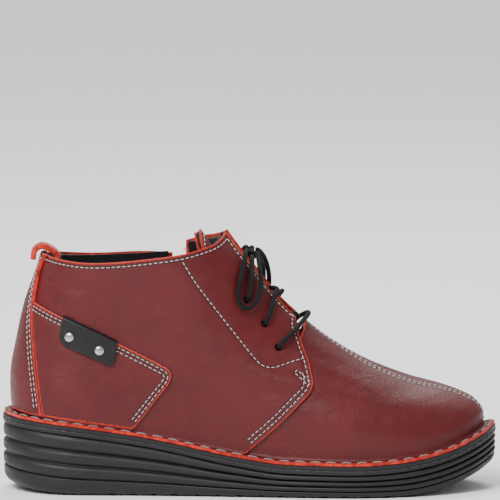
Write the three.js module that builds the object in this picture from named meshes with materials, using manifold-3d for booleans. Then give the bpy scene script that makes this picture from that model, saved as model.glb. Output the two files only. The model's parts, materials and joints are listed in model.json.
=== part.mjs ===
// A right-foot ankle boot in leather, with laces, a side zip and a ribbed wedge sole.
//
// Frame: millimetres, +X to the toe, +Y to the inner side of the foot, +Z up.
// The origin lies on the floor, at the middle of the flat part of the tread.
//
// The upper is one smooth form. Every layer of it (leather, stiffeners, lining, tongue) is a shell
// at its own depth below or above that form, cut to its outline by prisms.

import * as THREE from 'three';
import { mergeVertices } from 'three/addons/utils/BufferGeometryUtils.js';
import Module from 'manifold-3d';

const wasm = await Module();
wasm.setup();

// ---------------------------------------------------------------- driving dimensions

const LENGTH = 280; // sole, heel to toe
const BALL_WIDTH = 101; // sole across the ball of the foot
const WAIST_WIDTH = 85; // sole across the arch
const HEEL_WIDTH = 74; // sole across the heel
const HEEL_HEIGHT = 43.5; // top of the sole above the floor at the heel
const BALL_HEIGHT = 18; // the same under the ball of the foot
const TOE_RISE = 18; // extra rise of the sole's top at the tip of the toe
const TOE_SPRING = 16; // lift of the tread at the tip of the toe
const HEEL_BEVEL = 5; // lift of the tread at the back of the heel
const SHAFT_HEIGHT = 100; // sole top to the collar's lowest stretch
const FEATHER = 7.1; // from the sole's edge in to where the upper stands up

const GAP = 0.3; // left between neighbours
const LEATHER = 1.6; // thickness of the upper's leather
const STRAP = 2; // thickness of the back strap's leather
const PATCH = 1.5; // thickness of the heel patches
const TAB = 1.5; // thickness of the tab
const LINING = 1.2; // thickness of the textile lining
const STIFFENER = 1.4; // thickness of heel counter, lace-hole backing and collar padding
const PUFF = 0.9; // thickness of the toe puff
const MARGIN = 1.8; // thickness of the upper's turned-out margin
const MARGIN_SETBACK = 0.8; // from the sole's edge in to the margin's raw edge

const MIDSOLE = 5; // thickness of the lip that the upper is sewn to
const TREAD_SHARE = 0.28; // the outsole's share of the height under the midsole
const GROOVE_PITCH = 12; // tread grooves, along the boot
const GROOVE_WIDTH = 3;
const GROOVE_DEPTH = 1.3;
const BOARD = 2; // thickness of the insole board
const FOOTBED = 5; // thickness of the footbed foam
const COVER = 1.2; // thickness of the footbed's cover
const SHANK_WIDTH = 12;
const SHANK_THICKNESS = 1.2;

const THROAT = 24; // opening between the two rows of lace holes
const EYELET = 4.6; // diameter of the punched lace holes
const LACE = 2.8; // diameter of the lace
const TIP_LENGTH = 16; // plastic tip on each lace end
const TIP_DIAMETER = 3;

const ZIP_SLOT = 7.6; // width of the slot in the leather
const ZIP_TAPE = 12; // width of each tape
const ZIP_TAPE_THICKNESS = 0.8;
const ZIP_TEETH = 4.4; // width of the closed rows of teeth
const ZIP_TEETH_THICKNESS = 1.3;
const SLIDER_LENGTH = 9;
const SLIDER_WALL = 0.6;
const PULL_LENGTH = 22;
const PULL_WIDTH = 5.5;
const PULL_THICKNESS = 1.2;

const RIVET_HEAD = 5.6; // diameter
const RIVET_DOME = 1.5; // height
const RIVET_SHANK = 2.2; // diameter

const TONGUE_LEATHER = 1.4;
const TONGUE_PADDING = 1.6;
const TONGUE_BACK = 1;
const TONGUE_DEPTH = 6.6; // outer face of the tongue below the form, at its root
const TONGUE_LEAN = 6; // extra depth at its top

const LOOP_WIDTH = 12; // heel pull loop
const LOOP_THICKNESS = 1.8;

const COLUMNS = 32; // facets around the upper
const RIM = 1; // the lining stops this far below the collar's leather

const HALF = LENGTH / 2;

// ---------------------------------------------------------------- curves

const smoothStep = (t) => {
  const s = Math.min(1, Math.max(0, t));
  return s * s * (3 - 2 * s);
};

/** A smooth curve through [place, value] points that never overshoots them. */
function curve(points) {
  const place = points.map((p) => p[0]);
  const value = points.map((p) => p[1]);
  const last = points.length - 1;
  const rise = place.slice(1).map((x, i) => (value[i + 1] - value[i]) / (x - place[i]));
  const slope = place.map((_, i) => {
    if (i === 0) return rise[0];
    if (i === last) return rise[last - 1];
    const [a, b] = [rise[i - 1], rise[i]];
    return a * b <= 0 ? 0 : (2 * a * b) / (a + b);
  });
  return (x) => {
    if (x <= place[0]) return value[0] + slope[0] * (x - place[0]);
    if (x >= place[last]) return value[last] + slope[last] * (x - place[last]);
    let i = 0;
    while (x > place[i + 1]) i += 1;
    const width = place[i + 1] - place[i];
    const t = (x - place[i]) / width;
    const ends = value[i] * (1 + 2 * t) * (1 - t) ** 2 + value[i + 1] * t * t * (3 - 2 * t);
    return ends + width * (slope[i] * t * (1 - t) ** 2 - slope[i + 1] * t * t * (1 - t));
  };
}

/** A curve through seven knots, one every 30 degrees from the heel (0) to the toe (180). */
function around(knots) {
  const knot = (j) => knots[j < 0 ? -j : j > 6 ? 12 - j : j];
  return (theta) => {
    const k = theta / (Math.PI / 6);
    const i = Math.min(5, Math.max(0, Math.floor(k)));
    const t = k - i;
    const [a, b, c, d] = [knot(i - 1), knot(i), knot(i + 1), knot(i + 2)];
    return 0.5 * (2 * b + (c - a) * t + (2 * a - 5 * b + 4 * c - d) * t * t
      + (3 * b - a - 3 * c + d) * t ** 3);
  };
}

// ---------------------------------------------------------------- form of the sole

// Heel wedge as a share of its full height, over x / HALF.
const wedgeShare = curve([[-1, 1], [-0.69, 0.81], [-0.386, 0.56], [-0.07, 0.2], [0.14, 0.035], [0.4, 0]]);

/** Height of the sole's top above the floor. */
function soleTop(x) {
  const u = x / HALF;
  const heel = u > 0.4 ? 0 : (HEEL_HEIGHT - BALL_HEIGHT) * wedgeShare(u);
  return BALL_HEIGHT + heel + TOE_RISE * Math.max(0, (u - 0.32) / 0.68) ** 3;
}

/** Height of the tread above the floor: flat, with a lifted toe and a bevelled heel. */
function soleBottom(x) {
  const u = x / HALF;
  return TOE_SPRING * Math.max(0, (u - 0.59) / 0.41) ** 2
    + HEEL_BEVEL * Math.max(0, (-u - 0.62) / 0.38) ** 2;
}

// The foot's centre line bends to the inner side at the toe.
const bend = curve([[-1, 0], [-0.43, -0.011], [0, -0.011], [0.43, 0.007], [0.786, 0.036], [1, 0.05]]);
const centreLine = (x) => HALF * bend(x / HALF);

// Half width of the sole before it is rounded off at heel and toe.
const soleWidth = around([
  ...[1.92, 1.7, 1.155].map((share) => (share * HEEL_WIDTH) / 2),
  WAIST_WIDTH / 2,
  ...[1.133, 1.347, 1.426].map((share) => (share * BALL_WIDTH) / 2),
]);

/** Point of the sole's outline, drawn in by inset along its normal. */
function solePoint(phi, inset) {
  const at = (angle) => {
    const x = -HALF * Math.cos(angle);
    return new THREE.Vector2(x, centreLine(x) + soleWidth(Math.abs(angle)) * Math.sin(angle));
  };
  const step = 0.01;
  const along = at(phi + step).sub(at(phi - step)).normalize();
  return at(phi).add(new THREE.Vector2(along.y, -along.x).multiplyScalar(inset));
}

// ---------------------------------------------------------------- form of the upper

// Back and front of the form over height / SHAFT_HEIGHT, as x / HALF.
const backLine = curve([
  [0, -0.931], [0.12, -0.94], [0.2, -0.939], [0.4, -0.921], [0.6, -0.891], [0.8, -0.846], [1, -0.802],
  [1.3, -0.734],
]);
const frontLine = curve([
  [0, 0.954], [0.11, 0.95], [0.19, 0.92], [0.27, 0.86], [0.34, 0.785], [0.42, 0.66], [0.56, 0.455],
  [0.7, 0.3], [0.85, 0.17], [1.02, 0.055], [1.21, -0.07], [1.4, -0.17],
]);

// Width of the form's rings, as a share of the ring at the sole, at each height / SHAFT_HEIGHT.
const RINGS = [
  [0, [1, 1, 1, 1, 1, 1, 1]],
  [0.2, [0.986, 0.98, 1.053, 1, 1.014, 0.985, 1.017]],
  [0.4, [0.887, 0.894, 1.022, 0.98, 0.864, 0.854, 0.843]],
  [0.6, [0.782, 0.816, 0.99, 0.953, 0.715, 0.657, 0.663]],
  [0.8, [0.72, 0.769, 0.985, 0.948, 0.669, 0.558, 0.601]],
  [1, [0.673, 0.742, 1, 0.955, 0.679, 0.542, 0.547]],
  [1.3, [0.595, 0.68, 0.983, 0.95, 0.669, 0.509, 0.462]],
].map(([height, shares]) => [height, around(shares)]);

const ringWidth = (theta, height) =>
  (soleWidth(theta) - FEATHER) * curve(RINGS.map(([h, share]) => [h, share(theta)]))(height);

const TOE_ROLL = 0.1; // the toe box is higher on its inner side

/**
 * Point of the form. phi goes round the foot: 0 at the heel, pi / 2 on the inner side, pi along
 * the instep's ridge, and negative on the outer side. zeta is the height above the sole's top.
 */
function formPoint(phi, zeta) {
  const height = zeta / SHAFT_HEIGHT;
  const back = HALF * backLine(height);
  const front = HALF * frontLine(height);
  const x = (back + front) / 2 - ((front - back) / 2) * Math.cos(phi);
  const across = ringWidth(Math.abs(phi), height) * Math.sin(phi);
  const roll = TOE_ROLL * smoothStep((x / HALF - 0.21) / 0.43) * smoothStep(height / 0.25) * across;
  return new THREE.Vector3(x, centreLine(x) + across, soleTop(x) + zeta + roll);
}

/** Outward normal of the form. */
function formNormal(phi, zeta) {
  const up = formPoint(phi, zeta + 0.5).sub(formPoint(phi, zeta - 0.5));
  const round = formPoint(phi + 0.01, zeta).sub(formPoint(phi - 0.01, zeta));
  return up.cross(round).normalize();
}

/** Point at a depth outside (positive) or inside (negative) the form. */
const layerPoint = (phi, zeta, depth) =>
  formPoint(phi, zeta).addScaledVector(formNormal(phi, zeta), depth);

/** The form's phi and zeta at a place seen from the side; side is 1 for the inner side. */
function locate(x, z, side) {
  let zeta = z - soleTop(x);
  let phi = 0;
  for (let round = 0; round < 8; round += 1) {
    const back = HALF * backLine(zeta / SHAFT_HEIGHT);
    const front = HALF * frontLine(zeta / SHAFT_HEIGHT);
    const cosine = ((back + front) / 2 - x) / ((front - back) / 2);
    phi = side * Math.acos(Math.max(-1, Math.min(1, cosine)));
    zeta += z - formPoint(phi, zeta).z;
  }
  return [phi, zeta];
}

/** Side-view place from shares of the boot: u = x / HALF, h = height above the sole's top. */
const sidePlace = ([u, h]) => new THREE.Vector2(u * HALF, soleTop(u * HALF) + h * SHAFT_HEIGHT);

// ---------------------------------------------------------------- solids

/** A closed geometry from points and faces; faces that have shrunk to a line are left out. */
function closedGeometry(points, faces) {
  const geometry = new THREE.BufferGeometry();
  const coordinates = points.flatMap((p) => [p.x, p.y, p.z]);
  geometry.setAttribute('position', new THREE.Float32BufferAttribute(coordinates, 3));
  geometry.setIndex(faces.flat());
  const merged = mergeVertices(geometry, 1e-3);
  const index = [...merged.index.array];
  const kept = [];
  for (let i = 0; i < index.length; i += 3) {
    const [a, b, c] = index.slice(i, i + 3);
    if (a !== b && b !== c && c !== a) kept.push(a, b, c);
  }
  merged.setIndex(kept);
  return merged;
}

const quad = (a, b, c, d) => [[a, b, c], [a, c, d]];

/** Skin over rings of equal count, stacked from the lowest to the highest, closed by flat-sided caps. */
function stack(rings) {
  const count = rings[0].length;
  const faces = [];
  for (let k = 0; k + 1 < rings.length; k += 1) {
    for (let i = 0; i < count; i += 1) {
      const j = (i + 1) % count;
      faces.push(...quad(k * count + j, k * count + i, (k + 1) * count + i, (k + 1) * count + j));
    }
  }
  const top = (rings.length - 1) * count;
  for (let i = 0; i < count / 2; i += 1) {
    const [a, b, c, d] = [i, i + 1, count - i - 1, (count - i) % count];
    faces.push(...quad(a, b, c, d), ...quad(top + d, top + c, top + b, top + a));
  }
  return closedGeometry(rings.flat(), faces);
}

/** Angles round the foot, from the heel along the inner side to the toe and back outside. */
const ROUND = Array.from({ length: COLUMNS }, (_, i) => {
  const phi = (2 * Math.PI * i) / COLUMNS;
  return phi > Math.PI ? phi - 2 * Math.PI : phi;
});

/** Shell of the upper between two depths, all the way round, from zeta low upwards. */
const SHARES = [0, 0.1, 0.19, 0.26, 0.33, 0.4, 0.48, 0.58, 0.7, 0.84, 0.98, 1.12, 1.26];
function shell(inner, outer) {
  const rows = SHARES.map((share) => GAP + share * SHAFT_HEIGHT);
  const path = [...rows.map((zeta) => [zeta, outer]), ...rows.map((zeta) => [zeta, inner]).reverse()];
  const rings = path.map(([zeta, depth]) => ROUND.map((phi) => {
    const p = layerPoint(phi, zeta, depth);
    p.z = Math.max(p.z, soleTop(p.x) + GAP);
    return p;
  }));
  // Both faces of the shell are split along the same diagonal, so that plies stay parallel.
  const faces = [];
  for (let k = 0; k < rings.length; k += 1) {
    const next = (k + 1) % rings.length;
    for (let i = 0; i < COLUMNS; i += 1) {
      const j = (i + 1) % COLUMNS;
      const [a, b, c, d] = [k * COLUMNS + j, k * COLUMNS + i, next * COLUMNS + i, next * COLUMNS + j];
      faces.push(...(k < rows.length ? quad(a, b, c, d) : quad(b, c, d, a)));
    }
  }
  return closedGeometry(rings.flat(), faces);
}

/** Prism across the boot, from a side-view outline of Vector2. */
function sidePrism(outline, from, to) {
  const geometry = new THREE.ExtrudeGeometry(new THREE.Shape(outline), {
    depth: to - from, bevelEnabled: false, curveSegments: 6,
  });
  return geometry.rotateX(Math.PI / 2).translate(0, to, 0);
}

/** Upright prism from a plan outline of Vector2. */
const planPrism = (outline, from, to) =>
  new THREE.ExtrudeGeometry(new THREE.Shape(outline), { depth: to - from, bevelEnabled: false })
    .translate(0, 0, from);

/** Cylinder along the form's normal at a side-view place. */
function pin(place, side, radius, from, to) {
  const [phi, zeta] = locate(place.x, place.y, side);
  const normal = formNormal(phi, zeta);
  return new THREE.CylinderGeometry(radius, radius, to - from, 12)
    .translate(0, (from + to) / 2, 0)
    .applyQuaternion(new THREE.Quaternion().setFromUnitVectors(new THREE.Vector3(0, 1, 0), normal))
    .translate(...formPoint(phi, zeta).toArray());
}

/** Round tube through points, with a facet every so many diameters. */
function tube(points, diameter, every) {
  const path = new THREE.CatmullRomCurve3(points.map((p) => new THREE.Vector3(...p)));
  const sides = 8;
  const section = new THREE.Shape(Array.from({ length: sides }, (_, i) => new THREE.Vector2(
    (diameter / 2) * Math.cos((2 * Math.PI * i) / sides),
    (diameter / 2) * Math.sin((2 * Math.PI * i) / sides),
  )));
  const steps = Math.max(2, Math.round(path.getLength() / (every * diameter)));
  return new THREE.ExtrudeGeometry(section, { steps, bevelEnabled: false, extrudePath: path });
}

function toSolid(geometry) {
  const bare = geometry.clone();
  bare.deleteAttribute('normal');
  bare.deleteAttribute('uv');
  const merged = mergeVertices(bare, 1e-3);
  return new wasm.Manifold(new wasm.Mesh({
    numProp: 3,
    vertProperties: new Float32Array(merged.attributes.position.array),
    triVerts: new Uint32Array(merged.index.array),
  }));
}

function toGeometry(solid) {
  const mesh = solid.getMesh();
  const geometry = new THREE.BufferGeometry();
  geometry.setAttribute('position', new THREE.BufferAttribute(mesh.vertProperties, 3));
  geometry.setIndex(new THREE.BufferAttribute(mesh.triVerts, 1));
  return geometry;
}

/** Cuts a solid: keeps what lies in every prism of keep, and takes away every one of remove. */
function cut(geometry, { keep = [], remove = [], add = [] }) {
  let solid = toSolid(geometry);
  keep.forEach((prism) => { solid = solid.intersect(toSolid(prism)); });
  add.forEach((extra) => { solid = solid.add(toSolid(extra)); });
  remove.forEach((prism) => { solid = solid.subtract(toSolid(prism)); });
  return toGeometry(solid);
}

// ---------------------------------------------------------------- finishes

const finish = (color, roughness, metalness = 0) =>
  new THREE.MeshStandardMaterial({ color, roughness, metalness });

const FINISH = {
  leather: () => finish(0x6b2026, 0.45),
  suede: () => finish(0xb0392c, 0.95),
  blackLeather: () => finish(0x1c1a1b, 0.4),
  textile: () => finish(0x1b1a1c, 0.95),
  rubber: () => finish(0x1a1a1b, 0.7),
  board: () => finish(0x8a6f52, 0.9),
  foam: () => finish(0x3a3a3d, 0.95),
  steel: () => finish(0x9a9ca0, 0.35, 1),
  nickel: () => finish(0xc3c3c0, 0.25, 1),
  lace: () => finish(0x161617, 0.85),
  plastic: () => finish(0x121213, 0.3),
};

const boot = new THREE.Group();

function part(name, geometry, material) {
  const mesh = new THREE.Mesh(geometry, material());
  mesh.name = name;
  boot.add(mesh);
  return mesh;
}

// ---------------------------------------------------------------- sole

/** Ring of the sole's outline at a share of the height between two surfaces. */
const soleRing = (inset, height) => ROUND.map((phi) => {
  const p = solePoint(phi, inset);
  return new THREE.Vector3(p.x, p.y, height(p.x));
});

const midsoleBottom = (x) => soleTop(x) - MIDSOLE;
const wedgeTop = (x) => midsoleBottom(x) - GAP;
const treadTop = (x) => soleBottom(x) + TREAD_SHARE * (wedgeTop(x) - soleBottom(x));

// Outsole wall: [share of its own height, inset], rolled under at the tread.
const OUTSOLE_WALL = [[0, 5], [0.3, 1.5], [0.72, 0.5], [1, 0.9]];
const outsole = stack(OUTSOLE_WALL.map(([share, inset]) => soleRing(
  inset, (x) => soleBottom(x) + share * (treadTop(x) - soleBottom(x)),
)));

const FLAT_TREAD = 0.59 * HALF; // half length of the flat tread
const grooveCount = 2 * Math.floor(FLAT_TREAD / GROOVE_PITCH + 0.5);
const grooves = Array.from({ length: grooveCount }, (_, i) => new THREE.BoxGeometry(
  GROOVE_WIDTH, 2 * BALL_WIDTH, 2 * GROOVE_DEPTH,
).translate((i - (grooveCount - 1) / 2) * GROOVE_PITCH, 0, 0));
part('outsole', cut(outsole, { remove: grooves }), FINISH.rubber);

// Three ribs: [share of the wedge's height, inset].
const WEDGE_WALL = [
  [0, 0.9], [0.05, 0.4], [0.24, 0.4], [0.3, 1.8], [0.36, 0.4], [0.58, 0.4], [0.64, 1.8], [0.7, 0.4],
  [0.92, 0.4], [1, 1.4],
];
const wedgeBottom = (x) => treadTop(x) + GAP;
part('wedge', stack(WEDGE_WALL.map(([share, inset]) => soleRing(
  inset, (x) => wedgeBottom(x) + share * (wedgeTop(x) - wedgeBottom(x)),
))), FINISH.rubber);

// The shank bridges the arch, let into the midsole's top.
const SHANK_ENDS = [-0.68, -0.04].map((u) => u * HALF);
function shankStrip(clear) {
  const stations = Array.from({ length: 9 }, (_, i) => SHANK_ENDS[0] - clear
    + ((SHANK_ENDS[1] - SHANK_ENDS[0] + 2 * clear) * i) / 8);
  const top = stations.map((x) => new THREE.Vector2(x, soleTop(x) - GAP + 4 * clear));
  const floor = GAP + SHANK_THICKNESS + clear;
  const bottom = stations.map((x) => new THREE.Vector2(x, soleTop(x) - floor)).reverse();
  const half = SHANK_WIDTH / 2 + clear;
  return sidePrism([...top, ...bottom], -half, half);
}
part('shank', shankStrip(0), FINISH.steel);

const midsole = stack([soleRing(0.2, midsoleBottom), soleRing(0, (x) => midsoleBottom(x) + 0.5),
  soleRing(0, (x) => soleTop(x) - 0.5), soleRing(0.4, soleTop)]);
part('midsole', cut(midsole, { remove: [shankStrip(GAP)] }), FINISH.rubber);

// Inside the upper: board, foam and cover follow the inner face of the lining.
const LINING_IN = -GAP - STIFFENER - LINING; // inner face of the quarters' lining
const VAMP_LINING_DEPTH = Math.max(LEATHER + GAP + PUFF, -LINING_IN) + GAP; // outer face of the vamp's
const INSIDE = VAMP_LINING_DEPTH + LINING + GAP;
const insideRing = (zeta) => ROUND.map((phi) => {
  const p = layerPoint(phi, Math.max(zeta, 1), -INSIDE);
  return p.setZ(soleTop(p.x) + zeta);
});
const boardTop = GAP + BOARD;
const foamTop = boardTop + GAP + FOOTBED;
part('insole_board', stack([insideRing(GAP), insideRing(boardTop)]), FINISH.board);
part('footbed', stack([insideRing(boardTop + GAP), insideRing(foamTop)]), FINISH.foam);
const coverLow = foamTop + GAP;
part('footbed_cover', stack([insideRing(coverLow), insideRing(coverLow + COVER)]), FINISH.textile);

// ---------------------------------------------------------------- outlines seen from the side

const FAR = 300; // reaches past the whole boot

const BEHIND = [-1.4, 0.93];
const BELOW_BACK = [-1.4, -0.4];

// Collar from the heel to the front corner, as [x / HALF, height / SHAFT_HEIGHT].
const OUTER_COLLAR = [[-0.843, 0.93], [-0.714, 0.932], [-0.607, 0.949], [-0.464, 0.997], [-0.286, 1.073],
  [-0.164, 1.153], [-0.106, 1.185]];
const INNER_COLLAR_REAR = [[-0.843, 0.93], [-0.714, 0.919], [-0.607, 0.934], [-0.429, 0.982],
  [-0.26, 1.01]];
const INNER_COLLAR_FRONT = [[-0.3, 1.06], [-0.18, 1.13], [-0.078, 1.195]];
const ABOVE_THROAT = [[0.02, 1.24], [0.182, 1.05]];
const QUARTER_FRONT = [[0.182, 0.745], [0.214, 0.645], [0.243, 0.536], [0.254, 0.46], [0.246, 0.405],
  [-0.02, 0.021], [-0.06, -0.03], [-0.11, -0.4]];
const VAMP_REAR = [[0.225, 1.3], [0.225, 0.75], [0.193, 0.66], [0.193, 0.58], [0.2, 0.5],
  [-0.06, 0.068], [-0.1, -0.4]];
const VAMP_AHEAD = [[1.4, -0.4], [1.4, 1.3]];

const lower = (outline, drop) => outline.map(([u, h]) => [u, h - drop / SHAFT_HEIGHT]);
const region = (...outlines) => outlines.flat().map(sidePlace);

const outerCollar = (drop = 0) => [BEHIND, ...lower(OUTER_COLLAR, drop)];
const behindFront = [...QUARTER_FRONT, BELOW_BACK];

const outerSide = (outline) => sidePrism(outline, -FAR, -GAP / 2);
const innerSide = (outline) => sidePrism(outline, GAP / 2, FAR);

/** Upright slot that follows the centre line over the throat. */
function throatSlot(width, clear = 0) {
  const stations = [-0.3, -0.15, 0, 0.15, 0.3, 0.5].map((u) => u * HALF);
  const half = width / 2 + clear;
  const edge = (side) => stations.map((x) => new THREE.Vector2(x, centreLine(x) + side * half));
  return planPrism([...edge(-1), ...edge(1).reverse()], BALL_HEIGHT, FAR);
}

// ---------------------------------------------------------------- upper leather

/** The upper's margin, turned out flat on the midsole. */
function margin(depth) {
  const inner = (lift) => ROUND.map((phi) => {
    const p = layerPoint(phi, GAP, depth);
    return new THREE.Vector3(p.x, p.y, soleTop(p.x) + lift);
  });
  const outer = (lift) => soleRing(MARGIN_SETBACK, (x) => soleTop(x) + lift);
  const rings = [inner(GAP), inner(GAP + MARGIN), outer(GAP + MARGIN), outer(GAP)];
  const faces = [];
  for (let k = 0; k < rings.length; k += 1) {
    const next = (k + 1) % rings.length;
    for (let i = 0; i < COLUMNS; i += 1) {
      const j = (i + 1) % COLUMNS;
      faces.push(...quad(k * COLUMNS + i, k * COLUMNS + j, next * COLUMNS + j, next * COLUMNS + i));
    }
  }
  return closedGeometry(rings.flat(), faces);
}

const QUARTER_IN = GAP;
const QUARTER_OUT = GAP + LEATHER;
const OVERLAY_IN = QUARTER_OUT + GAP;
const PATCH_OUT = OVERLAY_IN + PATCH;
const TAB_IN = PATCH_OUT + GAP;

// The toe seam runs a little outside the middle of the toe.
const SEAM_SWAY = 7;
function toeSeam(offset) {
  const from = 0.12;
  const stations = Array.from({ length: 10 }, (_, i) => from + (1.1 - from) * (i / 9));
  return stations.map((u) => new THREE.Vector2(
    u * HALF,
    centreLine(u * HALF) - SEAM_SWAY * Math.sin(Math.PI * smoothStep((u - 0.2) / 0.9)) + offset,
  ));
}
const seamSide = (side) => planPrism([
  ...toeSeam((side * GAP) / 2),
  new THREE.Vector2(1.4 * HALF, side * FAR), new THREE.Vector2(-1.2 * HALF, side * FAR),
  new THREE.Vector2(-1.2 * HALF, (side * GAP) / 2),
], -FAR, FAR);

const vampArea = sidePrism(region(VAMP_REAR, VAMP_AHEAD), -FAR, FAR);
// The vamp's margin starts where the quarters' margin ends.
const aheadOfQuarter = sidePrism(region(
  [[0.3, 0.425], [-0.014, 0.021], [-0.054, -0.03], [-0.104, -0.4]], [[1.4, -0.4], [1.4, 0.425]],
), -FAR, FAR);

const vampShell = cut(shell(-LEATHER, 0), {
  keep: [vampArea],
  add: [cut(margin(-LEATHER / 2), { keep: [aheadOfQuarter] })],
});
part('vamp_outer', cut(vampShell, { keep: [seamSide(-1)] }), FINISH.leather);
part('vamp_inner', cut(vampShell, { keep: [seamSide(1)] }), FINISH.leather);

// Lace holes, from the collar down.
const LACE_HOLES = [[-0.014, 0.886], [0.058, 0.768], [0.114, 0.644]].map(sidePlace);
const laceHoles = (side) => LACE_HOLES.map((place) => pin(place, side, EYELET / 2, -4, 6));

const quarterShell = cut(shell(QUARTER_IN, QUARTER_OUT), {
  add: [margin((QUARTER_IN + QUARTER_OUT) / 2)], remove: [throatSlot(THROAT)],
});
part('quarter_outer', cut(quarterShell, {
  keep: [outerSide(region(outerCollar(), ABOVE_THROAT, behindFront))], remove: laceHoles(-1),
}), FINISH.leather);

// The zip lies upright on the inner side.
const ZIP_X = -0.286 * HALF;
const ZIP_LOW = soleTop(ZIP_X) + 0.2 * SHAFT_HEIGHT;
const ZIP_HIGH = soleTop(ZIP_X) + 0.96 * SHAFT_HEIGHT;
const upright = (from, to, low) => [[from, low], [to, low], [to, FAR], [from, FAR]]
  .map(([x, z]) => new THREE.Vector2(x, z));
const zipSlot = (width, low) => sidePrism(upright(ZIP_X - width / 2, ZIP_X + width / 2, low), GAP, FAR);

const innerOutline = (drop = 0) => region(
  [BEHIND], lower(INNER_COLLAR_REAR, drop), lower(INNER_COLLAR_FRONT, drop), ABOVE_THROAT, behindFront,
);
part('quarter_inner', cut(quarterShell, {
  keep: [innerSide(innerOutline())], remove: [...laceHoles(1), zipSlot(ZIP_SLOT, ZIP_LOW)],
}), FINISH.leather);

// ---------------------------------------------------------------- heel: strap, patches, tab

// Front edge of the back strap, from the collar down to the margin.
const STRAP_EDGE = [[-0.81, 1.1], [-0.824, 0.95], [-0.847, 0.863], [-0.87, 0.715], [-0.882, 0.59],
  [-0.877, 0.43], [-0.868, 0.247], [-0.85, 0.06], [-0.82, -0.3]];
const overlayFoot = (GAP + MARGIN + GAP) / SHAFT_HEIGHT; // overlays stand on the margin
const overlayFloor = Array.from({ length: 16 }, (_, i) => [0.1 - 0.1 * i, overlayFoot]);
const aboveMargin = sidePrism(region(overlayFloor, [[-1.4, 1.5], [0.1, 1.5]]), -FAR, FAR);
const strapEdge = (ahead) => STRAP_EDGE.map(([u, h]) => [u + ahead / HALF, h]);
const strapArea = (ahead) => sidePrism(region([[-1.4, 1.2]], strapEdge(ahead), [[-1.4, -0.3]]), -FAR, FAR);
const belowCollar = sidePrism(region([[-1.4, 0.93], [-0.7, 0.93], [-0.7, -0.3], [-1.4, -0.3]]), -FAR, FAR);
part('back_strap', cut(shell(OVERLAY_IN, OVERLAY_IN + STRAP), {
  keep: [aboveMargin, strapArea(0), belowCollar],
}), FINISH.leather);

// Heel patch: down from the strap, round a corner, and back to the margin.
const PATCH_TOP = [[-0.87, 0.665], [-0.357, 0.433]];
const PATCH_CORNER = [[-0.325, 0.41], [-0.318, 0.366], [-0.335, 0.32]];
const PATCH_FRONT = [[-0.46, 0.06]];
const patchOutline = region(
  [[-1.2, 0.665 + 0.15]], PATCH_TOP, PATCH_CORNER, PATCH_FRONT, [[-0.62, -0.3]], [[-1.2, -0.3]],
);

const RIVETS = [[-0.718, 0.509], [-0.604, 0.457]].map(sidePlace);
const rivetHoles = RIVETS.map((place) => pin(place, -1, RIVET_SHANK / 2 + GAP, -2, 9));

const patchShell = cut(shell(OVERLAY_IN, PATCH_OUT), { keep: [aboveMargin], remove: [strapArea(GAP)] });
part('heel_patch_outer', cut(patchShell, {
  keep: [outerSide(patchOutline)], remove: rivetHoles,
}), FINISH.leather);
part('heel_patch_inner', cut(patchShell, { keep: [innerSide(patchOutline)] }), FINISH.leather);

// The tab hangs over the patch's top edge, with two rounded lower corners.
const TAB_FOLD = 1.8 / SHAFT_HEIGHT; // the fold stands above the patch's edge
const patchTop = (u) => PATCH_TOP[0][1]
  + ((u - PATCH_TOP[0][0]) * (PATCH_TOP[1][1] - PATCH_TOP[0][1])) / (PATCH_TOP[1][0] - PATCH_TOP[0][0]);
const TAB_ENDS = [-0.742, -0.53];
const tabTop = TAB_ENDS.map((u) => [u, patchTop(u) + TAB_FOLD]);
const tabOutline = region(tabTop, [[-0.545, 0.445], [-0.558, 0.415], [-0.58, 0.405]], [[-0.74, 0.474],
  [-0.756, 0.488], [-0.76, 0.516]]);
const foldOutline = region(tabTop, TAB_ENDS.map((u) => [u, patchTop(u) + GAP / SHAFT_HEIGHT]).reverse());
part('tab', cut(shell(TAB_IN, TAB_IN + TAB), {
  keep: [outerSide(tabOutline)],
  add: [cut(shell(OVERLAY_IN, TAB_IN + TAB), { keep: [outerSide(foldOutline)] })],
  remove: rivetHoles,
}), FINISH.blackLeather);

/** Domed rivet, its shank pointing down local -Y. */
function rivet(place) {
  const [phi, zeta] = locate(place.x, place.y, -1);
  const seat = TAB_IN + TAB + GAP;
  const dome = Array.from({ length: 5 }, (_, i) => {
    const angle = (Math.PI / 2) * (i / 4);
    return new THREE.Vector2((RIVET_HEAD / 2) * Math.cos(angle), seat + 0.4 + RIVET_DOME * Math.sin(angle));
  });
  dome[dome.length - 1].x = 0;
  const profile = [
    new THREE.Vector2(0, OVERLAY_IN + GAP), new THREE.Vector2(RIVET_SHANK / 2, OVERLAY_IN + GAP),
    new THREE.Vector2(RIVET_SHANK / 2, seat), new THREE.Vector2(RIVET_HEAD / 2, seat), ...dome,
  ];
  return new THREE.LatheGeometry(profile, 12)
    .applyQuaternion(new THREE.Quaternion().setFromUnitVectors(
      new THREE.Vector3(0, 1, 0), formNormal(phi, zeta),
    ))
    .translate(...formPoint(phi, zeta).toArray());
}
RIVETS.forEach((place, i) => part(`rivet_${['rear', 'front'][i]}`, rivet(place), FINISH.nickel));

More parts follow.
